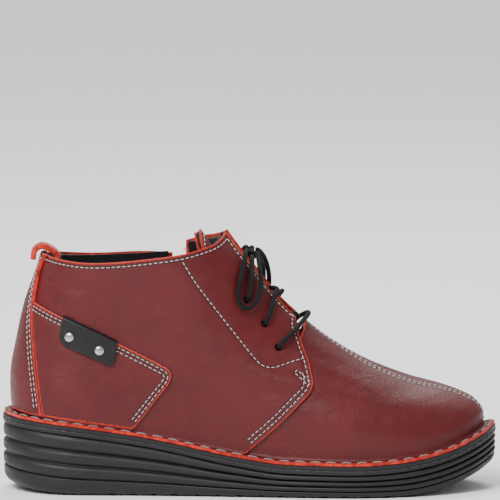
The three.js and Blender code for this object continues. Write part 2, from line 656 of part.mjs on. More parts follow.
// Pull loop: a strip that goes up from inside the collar, over it, and down onto the strap.
const collarAt = sidePlace([-0.86, 0.93]); // top of the leather at the heel
const [, heelZeta] = locate(-HALF, collarAt.y, 1);
const loopOut = OVERLAY_IN + STRAP + GAP + LOOP_THICKNESS / 2;
const loopIn = LINING_IN - GAP - LOOP_THICKNESS / 2;
const loopAt = (depth, rise, push = 0) => {
  const p = layerPoint(0, heelZeta + rise, depth);
  return new THREE.Vector2(p.x + push, p.z);
};
const loopPath = new THREE.SplineCurve([
  loopAt(loopOut, -8, -0.5), loopAt(loopOut, -4, -0.7), loopAt(loopOut, 0.6, -0.7),
  loopAt(loopOut * 0.6, 3.4), loopAt(loopIn * 0.4, 3.5), loopAt(loopIn, 0.8, 0.8), loopAt(loopIn, -6, 0.8),
]);
function ribbonOutline(path, thickness, count) {
  const edge = (side) => Array.from({ length: count + 1 }, (_, i) => {
    const along = path.getTangent(i / count);
    const out = new THREE.Vector2(-along.y, along.x).multiplyScalar((side * thickness) / 2);
    return path.getPoint(i / count).add(out);
  });
  return [...edge(1), ...edge(-1).reverse()];
}
part('pull_loop', sidePrism(
  ribbonOutline(loopPath, LOOP_THICKNESS, 16), -LOOP_WIDTH / 2, LOOP_WIDTH / 2,
), FINISH.suede);

// ---------------------------------------------------------------- stiffeners and linings

const STIFF_IN = -STIFFENER;
const betweenPlies = shell(STIFF_IN, 0);
part('toe_puff', cut(shell(-LEATHER - GAP - PUFF, -LEATHER - GAP), {
  keep: [sidePrism(region([[0.68, -0.3], [1.4, -0.3], [1.4, 0.8], [0.68, 0.8]]), -FAR, FAR)],
}), FINISH.board);

const COUNTER_EDGE = [[-1.4, 0.56], [-0.6, 0.45], [-0.5, 0.3], [-0.4, -0.3]];
part('heel_counter', cut(betweenPlies, {
  keep: [sidePrism(region(COUNTER_EDGE, [[-1.4, -0.3]]), -FAR, FAR)],
}), FINISH.board);

// Backing strips follow the throat behind the lace holes, and stop short of the vamp.
const BACKING_WIDTH = 0.17; // share of HALF
const BACKING_FRONT = [[-0.12, 1.15], [0.02, 1.2], [0.15, 1.0], [0.15, 0.72], [0.176, 0.6], [0.185, 0.53]];
const BACKING_REAR = [[0.05, 0.53], [-0.02, 0.64], [-0.13, 0.86], [-0.22, 1.08]];
const backingOutline = region(BACKING_FRONT, BACKING_REAR);
const laceBacking = cut(betweenPlies, { remove: [throatSlot(THROAT)] });
part('lace_backing_outer', cut(laceBacking, {
  keep: [outerSide(backingOutline)], remove: laceHoles(-1),
}), FINISH.board);
part('lace_backing_inner', cut(laceBacking, {
  keep: [innerSide(backingOutline)], remove: laceHoles(1),
}), FINISH.board);

// Collar padding: a band under the collar, from the heel to the backing strip or the zip.
const PAD_DROP = 4; // below the collar's edge
const PAD_FOOT = [[-0.6, 0.7], [-1.4, 0.66]];
const outerPad = region(
  [[-1.4, 0.9]], lower(OUTER_COLLAR.slice(0, 5), PAD_DROP), [[-0.235, 1.03], [-0.2, 0.9], [-0.3, 0.8]],
  PAD_FOOT,
);
part('collar_padding_outer', cut(betweenPlies, { keep: [outerSide(outerPad)] }), FINISH.foam);
const innerPad = region(
  [[-1.4, 0.9]], lower(INNER_COLLAR_REAR.slice(0, 4), PAD_DROP), [[-0.385, 0.95], [-0.385, 0.77]], PAD_FOOT,
);
part('collar_padding_inner', cut(betweenPlies, { keep: [innerSide(innerPad)] }), FINISH.foam);

// Linings: the quarters' lining overlaps the vamp's.
const VAMP_LINING_REAR = [[0.22, 1.3], [0.22, 0.72], [0.17, 0.64], [0.16, 0.6], [-0.06, 0.3],
  [-0.06, -0.4]];
part('vamp_lining', cut(shell(-VAMP_LINING_DEPTH - LINING, -VAMP_LINING_DEPTH), {
  keep: [sidePrism(region(VAMP_LINING_REAR, VAMP_AHEAD), -FAR, FAR)],
}), FINISH.textile);

const quarterLining = cut(shell(LINING_IN, LINING_IN + LINING), { remove: [throatSlot(THROAT, 1)] });
const liningFront = [[0.14, 0.745], [0.15, 0.6], [0.13, 0.45], [-0.1, 0.2], [-0.1, -0.4], BELOW_BACK];
part('quarter_lining_outer', cut(quarterLining, {
  keep: [outerSide(region(outerCollar(RIM), ABOVE_THROAT, liningFront))], remove: laceHoles(-1),
}), FINISH.textile);
part('quarter_lining_inner', cut(quarterLining, {
  keep: [innerSide(region([BEHIND], lower(INNER_COLLAR_REAR, RIM), lower(INNER_COLLAR_FRONT, RIM),
    ABOVE_THROAT, liningFront))],
  remove: [...laceHoles(1), zipSlot(ZIP_SLOT + 5, ZIP_LOW - 4)],
}), FINISH.textile);

// ---------------------------------------------------------------- tongue

// Height along the ridge, at the root and at the top; the sides hang lower than the middle.
const TONGUE_ROOT = 0.66;
const TONGUE_TOP = 1.27;
const TONGUE_SPREAD = 0.64; // half its wrap round the ridge, radians
const TONGUE_DROP = 11;

/** Leaf of the tongue between two thicknesses measured in from its outer face. */
function tongueLeaf(from, to) {
  const across = 8;
  const along = 11;
  const at = (i, j, depth) => {
    const t = (2 * i) / across - 1;
    const s = j / along;
    const spread = TONGUE_SPREAD * (0.8 + 0.2 * smoothStep(s / 0.5));
    const phi = Math.PI - t * spread;
    const zeta = SHAFT_HEIGHT * (TONGUE_ROOT + s * (TONGUE_TOP - TONGUE_ROOT)) - TONGUE_DROP * t * t;
    const below = TONGUE_DEPTH + TONGUE_LEAN * smoothStep(s) + depth;
    return layerPoint(phi > Math.PI ? phi - 2 * Math.PI : phi, zeta, -below);
  };
  const points = [];
  [from, to].forEach((depth) => {
    for (let j = 0; j <= along; j += 1) for (let i = 0; i <= across; i += 1) points.push(at(i, j, depth));
  });
  const id = (side, i, j) => side * (along + 1) * (across + 1) + j * (across + 1) + i;
  const faces = [];
  for (let j = 0; j < along; j += 1) {
    for (let i = 0; i < across; i += 1) {
      faces.push(...quad(id(0, i, j), id(0, i + 1, j), id(0, i + 1, j + 1), id(0, i, j + 1)));
      faces.push(...quad(id(1, i, j), id(1, i, j + 1), id(1, i + 1, j + 1), id(1, i + 1, j)));
    }
    faces.push(...quad(id(0, 0, j), id(0, 0, j + 1), id(1, 0, j + 1), id(1, 0, j)));
    faces.push(...quad(id(0, across, j), id(1, across, j), id(1, across, j + 1), id(0, across, j + 1)));
  }
  for (let i = 0; i < across; i += 1) {
    faces.push(...quad(id(0, i, 0), id(1, i, 0), id(1, i + 1, 0), id(0, i + 1, 0)));
    faces.push(...quad(id(0, i, along), id(0, i + 1, along), id(1, i + 1, along), id(1, i, along)));
  }
  return closedGeometry(points, faces);
}
const paddingFrom = TONGUE_LEATHER + GAP;
const backFrom = paddingFrom + TONGUE_PADDING + GAP;
part('tongue', tongueLeaf(0, TONGUE_LEATHER), FINISH.leather);
part('tongue_padding', tongueLeaf(paddingFrom, paddingFrom + TONGUE_PADDING), FINISH.textile);
part('tongue_back', tongueLeaf(backFrom, backFrom + TONGUE_BACK), FINISH.leather);

// ---------------------------------------------------------------- zip

// The zip is flat, so it lies in the plane through its two ends on the form.
const zipEnd = (z) => {
  const [phi, zeta] = locate(ZIP_X, z, 1);
  return formPoint(phi, zeta);
};
const zipFoot = zipEnd(ZIP_LOW);
const zipHead = zipEnd(ZIP_HIGH);
const zipRise = zipHead.z - zipFoot.z;
const zipLean = (zipHead.y - zipFoot.y) / zipRise;
const zipY = (z) => zipFoot.y + zipLean * (z - zipFoot.z);

/** Flat bar on the zip's plane: across x, from one height to another, between two depths. */
function zipBar(x0, x1, z0, z1, inner, outer) {
  const section = (z) => [[x0, inner], [x1, inner], [x1, outer], [x0, outer]]
    .map(([x, depth]) => new THREE.Vector3(x, zipY(z) + depth, z));
  const [a, b] = [section(z0), section(z1)];
  const faces = [...quad(0, 3, 2, 1), ...quad(4, 5, 6, 7)];
  for (let i = 0; i < 4; i += 1) faces.push(...quad(i, (i + 1) % 4, 4 + ((i + 1) % 4), 4 + i));
  return closedGeometry([...a, ...b], faces);
}

const TAPE_OUT = -0.5; // outer face of the tapes below the form
const TEETH_IN = TAPE_OUT + GAP;
const TEETH_OUT = TEETH_IN + ZIP_TEETH_THICKNESS;
const TAPE_LOW = ZIP_LOW - 3;
const TAPE_HIGH = ZIP_HIGH + 2;
const tapeShell = shell(TAPE_OUT - ZIP_TAPE_THICKNESS, TAPE_OUT);
[['rear', -1], ['front', 1]].forEach(([name, side]) => {
  const span = (near, far) => [ZIP_X + side * near, ZIP_X + side * far].sort((a, b) => a - b);
  const [tapeFrom, tapeTo] = span(GAP / 2, ZIP_TAPE);
  const tapeArea = [[tapeFrom, TAPE_LOW], [tapeTo, TAPE_LOW], [tapeTo, TAPE_HIGH], [tapeFrom, TAPE_HIGH]];
  part(`zip_tape_${name}`, cut(tapeShell, {
    keep: [sidePrism(tapeArea.map(([x, z]) => new THREE.Vector2(x, z)), GAP, FAR)],
  }), FINISH.textile);
  part(`zip_teeth_${name}`, zipBar(
    ...span(GAP / 2, ZIP_TEETH / 2), ZIP_LOW + 3, ZIP_HIGH - 3, TEETH_IN, TEETH_OUT,
  ), FINISH.plastic);
  part(`zip_top_stop_${name}`, zipBar(
    ...span(GAP / 2, ZIP_TEETH / 2), ZIP_HIGH - 3 + GAP, ZIP_HIGH - 0.5, TEETH_IN, TEETH_OUT,
  ), FINISH.nickel);
});
part('zip_bottom_stop', zipBar(
  ZIP_X - ZIP_TEETH / 2, ZIP_X + ZIP_TEETH / 2, ZIP_LOW + 0.7, ZIP_LOW + 3 - GAP, TEETH_IN, TEETH_OUT,
), FINISH.nickel);

// Slider: a channel over the teeth, with a bridge for the pull.
const sliderTop = ZIP_HIGH - 3 - GAP;
const sliderLow = sliderTop - SLIDER_LENGTH;
const channel = ZIP_TEETH / 2 + GAP;
const plateIn = TEETH_OUT + GAP;
const plateOut = plateIn + SLIDER_WALL;
const sliderHalf = channel + SLIDER_WALL;
const bridgeTop = sliderTop - 2;
const bridgeLow = bridgeTop - 3.4;
const BRIDGE_HALF = 1;
const BRIDGE_RISE = 2.6;
const BRIDGE_WALL = 0.8;
const sliderBox = (x0, x1, z0, z1, y0, y1) => zipBar(ZIP_X + x0, ZIP_X + x1, z0, z1, y0, y1);
const bridgeOut = plateOut + BRIDGE_RISE;
const bridge = cut(sliderBox(-BRIDGE_HALF, BRIDGE_HALF, bridgeLow, bridgeTop, plateOut - 0.4, bridgeOut), {
  remove: [sliderBox(
    -BRIDGE_HALF - 1, BRIDGE_HALF + 1, bridgeLow + BRIDGE_WALL, bridgeTop - BRIDGE_WALL,
    plateOut - 1, bridgeOut - BRIDGE_WALL,
  )],
});
part('zip_slider', cut(
  sliderBox(-sliderHalf, sliderHalf, sliderLow, sliderTop, TAPE_OUT + GAP, plateOut), {
    remove: [sliderBox(-channel, channel, sliderLow - 1, sliderTop + 1, TAPE_OUT - 1, plateIn)],
    add: [bridge],
  },
), FINISH.nickel);

// Pull: a flat tab that hangs from the bridge and swings on it.
const eyeLow = bridgeLow + BRIDGE_WALL;
const pivotZ = (eyeLow + bridgeTop - BRIDGE_WALL) / 2;
const pivotDepth = plateOut + (BRIDGE_RISE - BRIDGE_WALL) / 2;
const pullSlot = BRIDGE_HALF + GAP;
const pullIn = pivotDepth - PULL_THICKNESS / 2;
const pullOut = pivotDepth + PULL_THICKNESS / 2;
const barHalf = (bridgeTop - BRIDGE_WALL - eyeLow) / 2 - GAP;
const slotTop = pivotZ - barHalf;
const slotLow = slotTop - BRIDGE_WALL - 3;
part('zip_pull', cut(
  sliderBox(-PULL_WIDTH / 2, PULL_WIDTH / 2, pivotZ - PULL_LENGTH, pivotZ + barHalf, pullIn, pullOut),
  { remove: [sliderBox(-pullSlot, pullSlot, slotLow, slotTop, pullIn - 1, pullOut + 1)] },
), FINISH.nickel);

// ---------------------------------------------------------------- lace

// The lace was laid by hand: each route is a list of the places that it passes, in order. A place
// is x and y on a boot of DRAWN's size, and the height above the top of its sole.
const DRAWN = { length: 280, ballWidth: 101, shaftHeight: 100 };
function laid([x, y, rise]) {
  const along = (x * LENGTH) / DRAWN.length;
  const height = soleTop(along) + (rise * SHAFT_HEIGHT) / DRAWN.shaftHeight;
  return [along, (y * BALL_WIDTH) / DRAWN.ballWidth, height];
}

const HELD_STEP = 1.8; // facets along the lace where it turns through the holes, in diameters
const FREE_STEP = 2.2; // and where it hangs free

// Across the foot of the throat, in and out of the lowest pair of holes.
const BAR = [
  [15.4, -27.7, 63.5], [16.2, -30.2, 64.7], [17.3, -31.8, 66.2], [18.7, -31.9, 68.1],
  [22, -29.4, 71.3], [26, -23.8, 74.9], [29.9, -16.2, 78.5], [32.6, -8, 80.7], [33.6, -0.6, 81.5],
  [32.5, 7, 80.7], [29.8, 15, 78.4], [26, 21.8, 74.9], [22, 27.1, 71.3], [18.6, 29.5, 68.1],
  [17.1, 29.4, 66.3], [16.1, 27.6, 64.8], [15.5, 25.2, 63.5],
];
// From the lowest outer hole, under the edges to the middle inner hole, over to the top outer hole.
const OUTER_HALF = [
  [15, -25.7, 62.8], [16.3, -23.1, 65.2], [18.5, -21, 68.6], [21.5, -16, 72.4], [23.8, -12, 74.5],
  [25.3, -6, 76.3], [24.6, 0, 77.6], [22, 6, 78.5], [17, 11.5, 78.5], [12, 15.3, 77.5],
  [8.5, 17.8, 76.1], [7.3, 19.5, 75.5], [7.4, 21.6, 76], [8.4, 24, 77.1], [9.3, 26.1, 78.7],
  [10.8, 26, 81.1], [14, 22, 85.6], [17.2, 16.2, 89.6], [18.6, 11.8, 92.1], [18, 7.5, 92.2],
  [15.2, 2.5, 90.6], [11.5, -4, 89], [7.5, -11, 88.5], [2.5, -16.6, 88.5], [-1.8, -20.3, 87.7],
  [-3, -22.4, 87.4], [-2.8, -24.5, 87.8], [-1.6, -26.8, 88.9], [-0.7, -28.7, 90.4],
  [0.1, -28.9, 92.7], [0.9, -25.9, 97.9], [1.3, -23.1, 102.4], [1.5, -18.4, 107],
  [1.4, -13.2, 111], [1.3, -6.8, 111.9],
];
// The other half: from the lowest inner hole to the middle outer hole and the top inner hole.
const INNER_HALF = [
  [15.2, 23.4, 62.8], [16.2, 21, 65.1], [18.8, 17.8, 69.1], [23.6, 12.4, 74.3], [27, 7.5, 77.4],
  [26.6, 0, 80.4], [23.2, -7, 81.8], [17.8, -12.4, 80.5], [12.6, -17, 78.2], [8.4, -20.8, 76.1],
  [7.2, -22.5, 75.5], [7.3, -24.6, 75.9], [8.4, -26.9, 77.1], [9.4, -28.7, 78.7],
  [10.4, -28.6, 81.1], [12.2, -25.3, 85.5], [13.4, -20.7, 90], [14.6, -16.8, 93.8],
  [15.8, -13.2, 95.7], [14, -9, 96], [9.8, -3, 94.8], [6.3, 3, 93.5], [2.6, 9.6, 92.1],
  [0, 14, 90.4], [-2.2, 17.5, 88.5], [-3.3, 19, 87.4], [-2.8, 21.4, 87.8], [-1.6, 23.7, 88.9],
  [-0.7, 25.5, 90.4], [0.1, 25.6, 92.7], [0.9, 22.9, 97.9], [1.2, 20.2, 102.4], [1.4, 15.4, 107.3],
  [1.3, 10.4, 111], [1.2, 5.4, 111.8],
];
const OUTER_LOOP = [
  [-1.3, -5.4, 114.6], [-1.9, -10.5, 114.9], [-2.2, -15.7, 113.6], [-2.8, -21, 109.9],
  [-4, -24.8, 104.7], [-5.4, -28.8, 99.3], [-6.2, -31, 93.9], [-6.2, -32.8, 89.1],
  [-4.6, -33.8, 85.8], [-1.4, -33.3, 85], [1.9, -31.2, 87], [4.7, -28.2, 91.2], [6.2, -24.8, 95.7],
  [6.6, -21.8, 99.9], [6.3, -18.8, 103.9], [5.7, -15, 108], [5.1, -10.8, 111.5], [4.5, -6, 114.3],
];
const INNER_LOOP = [
  [4.4, 3.8, 115.1], [6, 7.2, 113.8], [8, 11.4, 111], [9.7, 15.6, 106.8], [10.8, 19, 101.9],
  [11.2, 21.4, 96.8], [10.8, 23.4, 91.9], [9.4, 25.6, 87.5], [6.6, 27.6, 84.3], [3, 29.2, 82.7],
  [-1, 30.6, 83.2], [-3.9, 30.9, 86.1], [-5.2, 29.8, 90.7], [-5.4, 28.2, 96.3],
  [-5.2, 25.2, 102.1], [-4.6, 21, 107.4], [-3.8, 17.2, 111.2], [-2.8, 12.6, 113.7],
  [-1.9, 8, 114.9], [-1.3, 4.4, 114.7],
];
const FRONT_END = [
  [5.3, 2.2, 111.6], [6.4, 6, 109.3], [7.2, 10.6, 106.8], [7.8, 14.6, 103.3], [8, 17.9, 98.8],
  [7.6, 21.6, 93.5], [7, 26, 89.4], [6.8, 30.6, 86], [6.8, 32.6, 80.8], [7, 32.8, 74.8],
  [7, 33.4, 68.6], [7.2, 34.8, 62.2], [7.4, 36.4, 56.1], [7.5, 37.6, 51.5],
];
const REAR_END = [
  [1.6, 4.6, 115.2], [1.2, 8.8, 115], [0.6, 13, 112.7], [-0.2, 17.4, 108.6], [-0.8, 21.8, 103.7],
  [-1, 25.4, 98.5], [-1, 28.6, 93.1], [-0.9, 31.8, 88.1], [-0.8, 34.1, 83.1], [-0.8, 34.2, 77.1],
  [-0.9, 34.6, 70.9], [-1, 35.6, 64.7], [-1.2, 36.8, 58.4], [-1.4, 38.2, 52.8],
];
const KNOT = [1.5, -0.8, 112.9];
const KNOT_RADII = [3.8, 5.2, 3.5];

part('lace_bar', tube(BAR.map(laid), LACE, HELD_STEP), FINISH.lace);
part('lace_half_outer', tube(OUTER_HALF.map(laid), LACE, HELD_STEP), FINISH.lace);
part('lace_half_inner', tube(INNER_HALF.map(laid), LACE, HELD_STEP), FINISH.lace);
part('lace_loop_outer', tube(OUTER_LOOP.map(laid), LACE, FREE_STEP), FINISH.lace);
part('lace_loop_inner', tube(INNER_LOOP.map(laid), LACE, FREE_STEP), FINISH.lace);
part('lace_knot', new THREE.IcosahedronGeometry(1, 2).scale(...KNOT_RADII).translate(...laid(KNOT)),
  FINISH.lace);

[['front', FRONT_END], ['rear', REAR_END]].forEach(([name, route]) => {
  part(`lace_end_${name}`, tube(route.map(laid), LACE, FREE_STEP), FINISH.lace);
  const [before, last] = route.slice(-2).map((p) => new THREE.Vector3(...laid(p)));
  const along = last.clone().sub(before).normalize();
  const middle = last.clone().addScaledVector(along, GAP + TIP_LENGTH / 2);
  part(`lace_tip_${name}`, new THREE.CylinderGeometry(TIP_DIAMETER / 2, TIP_DIAMETER / 2, TIP_LENGTH, 10)
    .applyQuaternion(new THREE.Quaternion().setFromUnitVectors(new THREE.Vector3(0, 1, 0), along))
    .translate(...middle.toArray()), FINISH.plastic);
});

export default boot;
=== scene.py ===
# %% [markdown]
# # A leather ankle boot with laces, a side zip and a ribbed wedge sole
# Each step makes one kind of piece. The shapes are worked out as whole numpy arrays: the upper is
# one smooth form, and every leather, lining and stitch is placed at its own depth on that form.

# %% The fixed frame
import json
import math

import bpy
import numpy as np
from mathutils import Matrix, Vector

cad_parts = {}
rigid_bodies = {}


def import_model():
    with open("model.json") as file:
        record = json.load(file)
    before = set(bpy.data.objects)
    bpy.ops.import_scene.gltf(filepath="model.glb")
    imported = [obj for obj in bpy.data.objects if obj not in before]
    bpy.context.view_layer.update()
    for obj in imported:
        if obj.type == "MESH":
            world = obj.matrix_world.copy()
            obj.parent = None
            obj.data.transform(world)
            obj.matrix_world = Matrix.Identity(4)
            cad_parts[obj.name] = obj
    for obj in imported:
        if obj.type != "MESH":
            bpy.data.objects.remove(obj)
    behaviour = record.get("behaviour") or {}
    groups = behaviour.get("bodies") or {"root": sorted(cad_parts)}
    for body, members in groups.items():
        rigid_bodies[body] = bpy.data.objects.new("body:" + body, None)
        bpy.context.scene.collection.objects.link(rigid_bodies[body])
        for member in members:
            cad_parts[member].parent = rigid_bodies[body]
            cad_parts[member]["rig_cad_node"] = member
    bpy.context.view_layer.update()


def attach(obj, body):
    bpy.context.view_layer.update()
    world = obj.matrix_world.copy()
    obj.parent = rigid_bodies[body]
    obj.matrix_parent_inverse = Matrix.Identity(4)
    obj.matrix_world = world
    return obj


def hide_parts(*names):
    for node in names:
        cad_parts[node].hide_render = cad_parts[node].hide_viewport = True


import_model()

MM = 0.001  # shapes below are worked out in millimetres

# %% [markdown]
# ## Camera
# The boot is seen square on from its outer side, from a little above. A short lens close by would
# fill the frame too, but would shrink the far side of the collar. A long lens far away is chosen,
# because it keeps the near and far edges almost parallel.

# %% Camera
camera_data = bpy.data.cameras.new("camera")
camera_data.sensor_width = 36
camera_data.lens = 767
camera = bpy.data.objects.new("camera", camera_data)
bpy.context.scene.collection.objects.link(camera)
camera_rise = math.radians(7)
camera_distance = 6.0
aim = Vector((0.0003, -0.045, 0.1413))
camera.location = aim + camera_distance * Vector((0, -math.cos(camera_rise), math.sin(camera_rise)))
camera.rotation_euler = (math.radians(90) - camera_rise, 0, 0)
bpy.context.scene.camera = camera
print("camera at", [round(v, 3) for v in camera.location])

# %% [markdown]
# ## Helpers for meshes
# Each piece is one mesh. It could be built face by face with operators, but whole arrays of
# points and faces take one call, however many there are. A face's material index says which of
# the piece's finishes it shows.

# %% Mesh from arrays
def mesh_piece(name, points, faces, finishes, index=None, sharp=50, marks=None):
    """Piece from points (n, 3) in millimetres and faces: a list of (m, 3) or (m, 4) arrays.

    finishes are its materials, index the material of each face, sharp the angle in degrees past
    which an edge isn't smoothed, and marks named values per point."""
    loops = np.concatenate([block.ravel() for block in faces])
    totals = np.concatenate([np.full(len(block), block.shape[1]) for block in faces])
    starts = np.concatenate([[0], np.cumsum(totals)[:-1]])
    mesh = bpy.data.meshes.new(name)
    mesh.vertices.add(len(points))
    mesh.vertices.foreach_set("co", (np.asarray(points, float) * MM).ravel())
    mesh.loops.add(len(loops))
    mesh.loops.foreach_set("vertex_index", loops.astype(np.int32))
    mesh.polygons.add(len(totals))
    mesh.polygons.foreach_set("loop_start", starts.astype(np.int32))
    mesh.polygons.foreach_set("loop_total", totals.astype(np.int32))
    for finish in finishes:
        mesh.materials.append(finish)
    if index is not None:
        mesh.polygons.foreach_set("material_index", np.asarray(index, np.int32))
    for mark, value in (marks or {}).items():
        layer = mesh.attributes.new(mark, "FLOAT", "POINT")
        layer.data.foreach_set("value", np.asarray(value, np.float32))
    mesh.polygons.foreach_set("use_smooth", np.full(len(totals), True))
    mesh.update(calc_edges=True)
    mesh.validate()
    mesh.set_sharp_from_angle(angle=math.radians(sharp))
    piece = bpy.data.objects.new(name, mesh)
    bpy.context.scene.collection.objects.link(piece)
    return piece


def settle(piece, body, slot, *nodes):
    """Lets a piece ride on a body and stand for CAD nodes, which it hides; slot is not used."""
    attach(piece, body)
    if nodes:
        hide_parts(*nodes)
    print(f"{piece.name}: {len(getattr(piece.data, 'polygons', []))} faces")
    return piece


def grid_faces(rows, columns, closed=False):
    """Quads between the points of a grid, numbered row by row; closed joins the last column
    to the first."""
    ids = np.arange(rows * columns).reshape(rows, columns)
    if closed:
        ids = np.hstack([ids, ids[:, :1]])
    return np.stack([ids[:-1, :-1], ids[:-1, 1:], ids[1:, 1:], ids[1:, :-1]], -1).reshape(-1, 4)


def turned(blocks):
    """The same faces seen from their other side."""
    return [block[:, ::-1] for block in blocks]


def unit(vectors):
    """Each vector divided by its length."""
    return vectors / np.linalg.norm(vectors, axis=-1, keepdims=True)


def run_along(line):
    """Distance along a line from its first point to each of its points."""
    return np.concatenate([[0], np.cumsum(np.linalg.norm(np.diff(line, axis=0), axis=1))])


def stops_on(line, run, stops):
    """Points of a line at the given distances along it."""
    return np.stack([np.interp(stops, run, column) for column in line.T], -1)


# %% [markdown]
# ## Curves
# A boot's outlines are drawn with a few points and a bent batten. Bezier curves would do, but
# their handles are hard to choose. Here `curve` passes through its points and never overshoots
# them, and `around` goes round the foot in steps of thirty degrees.

# %% Curves through points
def smooth_step(t):
    """3 t^2 - 2 t^3 between 0 and 1."""
    s = np.clip(t, 0, 1)
    return s * s * (3 - 2 * s)


def slopes(place, value):
    """Harmonic mean of the rises on both sides of each point; zero where they change sign."""
    run = np.diff(place).reshape(-1, *([1] * (value.ndim - 1)))
    rise = np.diff(value, axis=0) / run
    before, after = rise[:-1], rise[1:]
    total = np.where(before + after == 0, 1, before + after)
    inner = np.where(before * after > 0, 2 * before * after / total, 0)
    return np.concatenate([rise[:1], inner, rise[-1:]])


def hermite(a, b, slope_a, slope_b, width, t):
    """Cubic from a to b with given slopes; straight on beyond both ends."""
    s = np.clip(t, 0, 1)
    inside = (a * (1 + 2 * s) * (1 - s) ** 2 + b * s * s * (3 - 2 * s)
              + width * (slope_a * s * (1 - s) ** 2 - slope_b * s * s * (1 - s)))
    return inside + (t - s) * width * np.where(t < 0, slope_a, slope_b)


def curve(points):
    """Function through [place, value] points."""
    place, value = np.array(points, float).T
    slope = slopes(place, value)

    def at(x):
        x = np.asarray(x, float)
        i = np.clip(np.searchsorted(place, x) - 1, 0, len(place) - 2)
        width = place[i + 1] - place[i]
        return hermite(value[i], value[i + 1], slope[i], slope[i + 1], width,
                       (x - place[i]) / width)
    return at


def around(knots):
    """Function of the angle from the heel (0) to the toe (pi) through seven knots."""
    k = np.array([knots[1], *knots, knots[5]], float)

    def at(theta):
        place = np.asarray(theta, float) / (math.pi / 6)
        i = np.clip(np.floor(place).astype(int), 0, 5)
        t = place - i
        a, b, c, d = k[i], k[i + 1], k[i + 2], k[i + 3]
        return 0.5 * (2 * b + (c - a) * t + (2 * a - 5 * b + 4 * c - d) * t * t
                      + (3 * b - a - 3 * c + d) * t ** 3)
    return at


# %% [markdown]
# ## The last
# A real boot is pulled over a last, a wooden foot. Sculpting one would work, but a few lines say
# the same and can be changed. This is the same last as the frame's, and its plan is the sole's
# outline. Heights and places along it are shares of its sizes.

# %% The sole's lines
LENGTH = 280
HALF = LENGTH / 2
HEEL_HEIGHT, BALL_HEIGHT = 43.5, 18
TOE_RISE, TOE_SPRING, HEEL_BEVEL = 18, 16, 5
SHAFT = 100
FEATHER = 7.1  # how far the form stands in from the sole's edge
GAP = 0.3  # clearance between layers

wedge_share = curve([[-1, 1], [-0.69, 0.81], [-0.386, 0.56], [-0.07, 0.2], [0.14, 0.035], [0.4, 0]])
bend = curve([[-1, 0], [-0.43, -0.011], [0, -0.011], [0.43, 0.007], [0.786, 0.036], [1, 0.05]])
HEEL, WAIST, BALL = 37, 42.5, 50.5  # half widths; the knots are shares of them
sole_half_width = around([1.92 * HEEL, 1.7 * HEEL, 1.155 * HEEL, WAIST,
                          1.133 * BALL, 1.347 * BALL, 1.426 * BALL])


def sole_top(x):
    """Top of the sole above the floor."""
    u = np.asarray(x, float) / HALF
    heel = np.where(u > 0.4, 0, (HEEL_HEIGHT - BALL_HEIGHT) * wedge_share(u))
    return BALL_HEIGHT + heel + TOE_RISE * np.maximum(0, (u - 0.32) / 0.68) ** 3


def sole_bottom(x):
    """Tread above the floor: flat, lifted at the toe and bevelled at the heel."""
    u = np.asarray(x, float) / HALF
    return (TOE_SPRING * np.maximum(0, (u - 0.59) / 0.41) ** 2
            + HEEL_BEVEL * np.maximum(0, (-u - 0.62) / 0.38) ** 2)


def centre_line(x):
    """How far the middle of the sole bends to the inner side."""
    return HALF * bend(np.asarray(x, float) / HALF)


def from_heel(phi):
    """Angle from the heel, 0 to pi, on either side."""
    return np.abs(np.arctan2(np.sin(phi), np.cos(phi)))


def sole_outline(phi, inset):
    """Point of the sole's outline (x, y), moved in along its normal."""
    def at(angle):
        x = -HALF * np.cos(angle)
        width = sole_half_width(from_heel(angle))
        return np.stack([x, centre_line(x) + width * np.sin(angle)], -1)
    along = unit(at(phi + 0.01) - at(phi - 0.01))
    inward = np.stack([along[..., 1], -along[..., 0]], -1)
    return at(phi) + inward * np.asarray(inset)[..., None]


# %% [markdown]
# ## The form of the upper
# Above the sole the last swells over the toes, narrows at the ankle and opens to the collar. A
# sculpted surface would have no second surface to match it. As a formula of an angle phi and a
# height zeta, every layer can be laid on it at its own depth. A back line and a front line bound
# its side view, and seven rings give its width.

# %% The form of the upper
back_line = curve([[0, -0.931], [0.12, -0.94], [0.2, -0.939], [0.4, -0.921], [0.6, -0.891],
                   [0.8, -0.846], [1, -0.802], [1.3, -0.734]])
front_line = curve([[0, 0.954], [0.11, 0.95], [0.19, 0.92], [0.27, 0.86], [0.34, 0.785],
                    [0.42, 0.66], [0.56, 0.455], [0.7, 0.3], [0.85, 0.17], [1.02, 0.055],
                    [1.21, -0.07], [1.4, -0.17]])
RING_HEIGHTS = np.array([0, 0.2, 0.4, 0.6, 0.8, 1, 1.3])
RING_SHARES = [around(shares) for shares in (
    [1, 1, 1, 1, 1, 1, 1],
    [0.986, 0.98, 1.053, 1, 1.014, 0.985, 1.017],
    [0.887, 0.894, 1.022, 0.98, 0.864, 0.854, 0.843],
    [0.782, 0.816, 0.99, 0.953, 0.715, 0.657, 0.663],
    [0.72, 0.769, 0.985, 0.948, 0.669, 0.558, 0.601],
    [0.673, 0.742, 1, 0.955, 0.679, 0.542, 0.547],
    [0.595, 0.68, 0.983, 0.95, 0.669, 0.509, 0.462],
)]
TOE_ROLL = 0.1


def ring_width(theta, height):
    """Half width of the form at an angle and a height share: the ring at the sole times the
    share that a smooth curve through the seven rings gives."""
    theta, height = np.broadcast_arrays(theta, height)
    shares = np.stack([share(theta) for share in RING_SHARES])
    slope = slopes(RING_HEIGHTS, shares)
    i = np.clip(np.searchsorted(RING_HEIGHTS, height) - 1, 0, len(RING_HEIGHTS) - 2)
    pick = lambda table, j: np.take_along_axis(table, j[None], 0)[0]
    width = RING_HEIGHTS[i + 1] - RING_HEIGHTS[i]
    share = hermite(pick(shares, i), pick(shares, i + 1), pick(slope, i), pick(slope, i + 1),
                    width, (height - RING_HEIGHTS[i]) / width)
    return (sole_half_width(theta) - FEATHER) * share


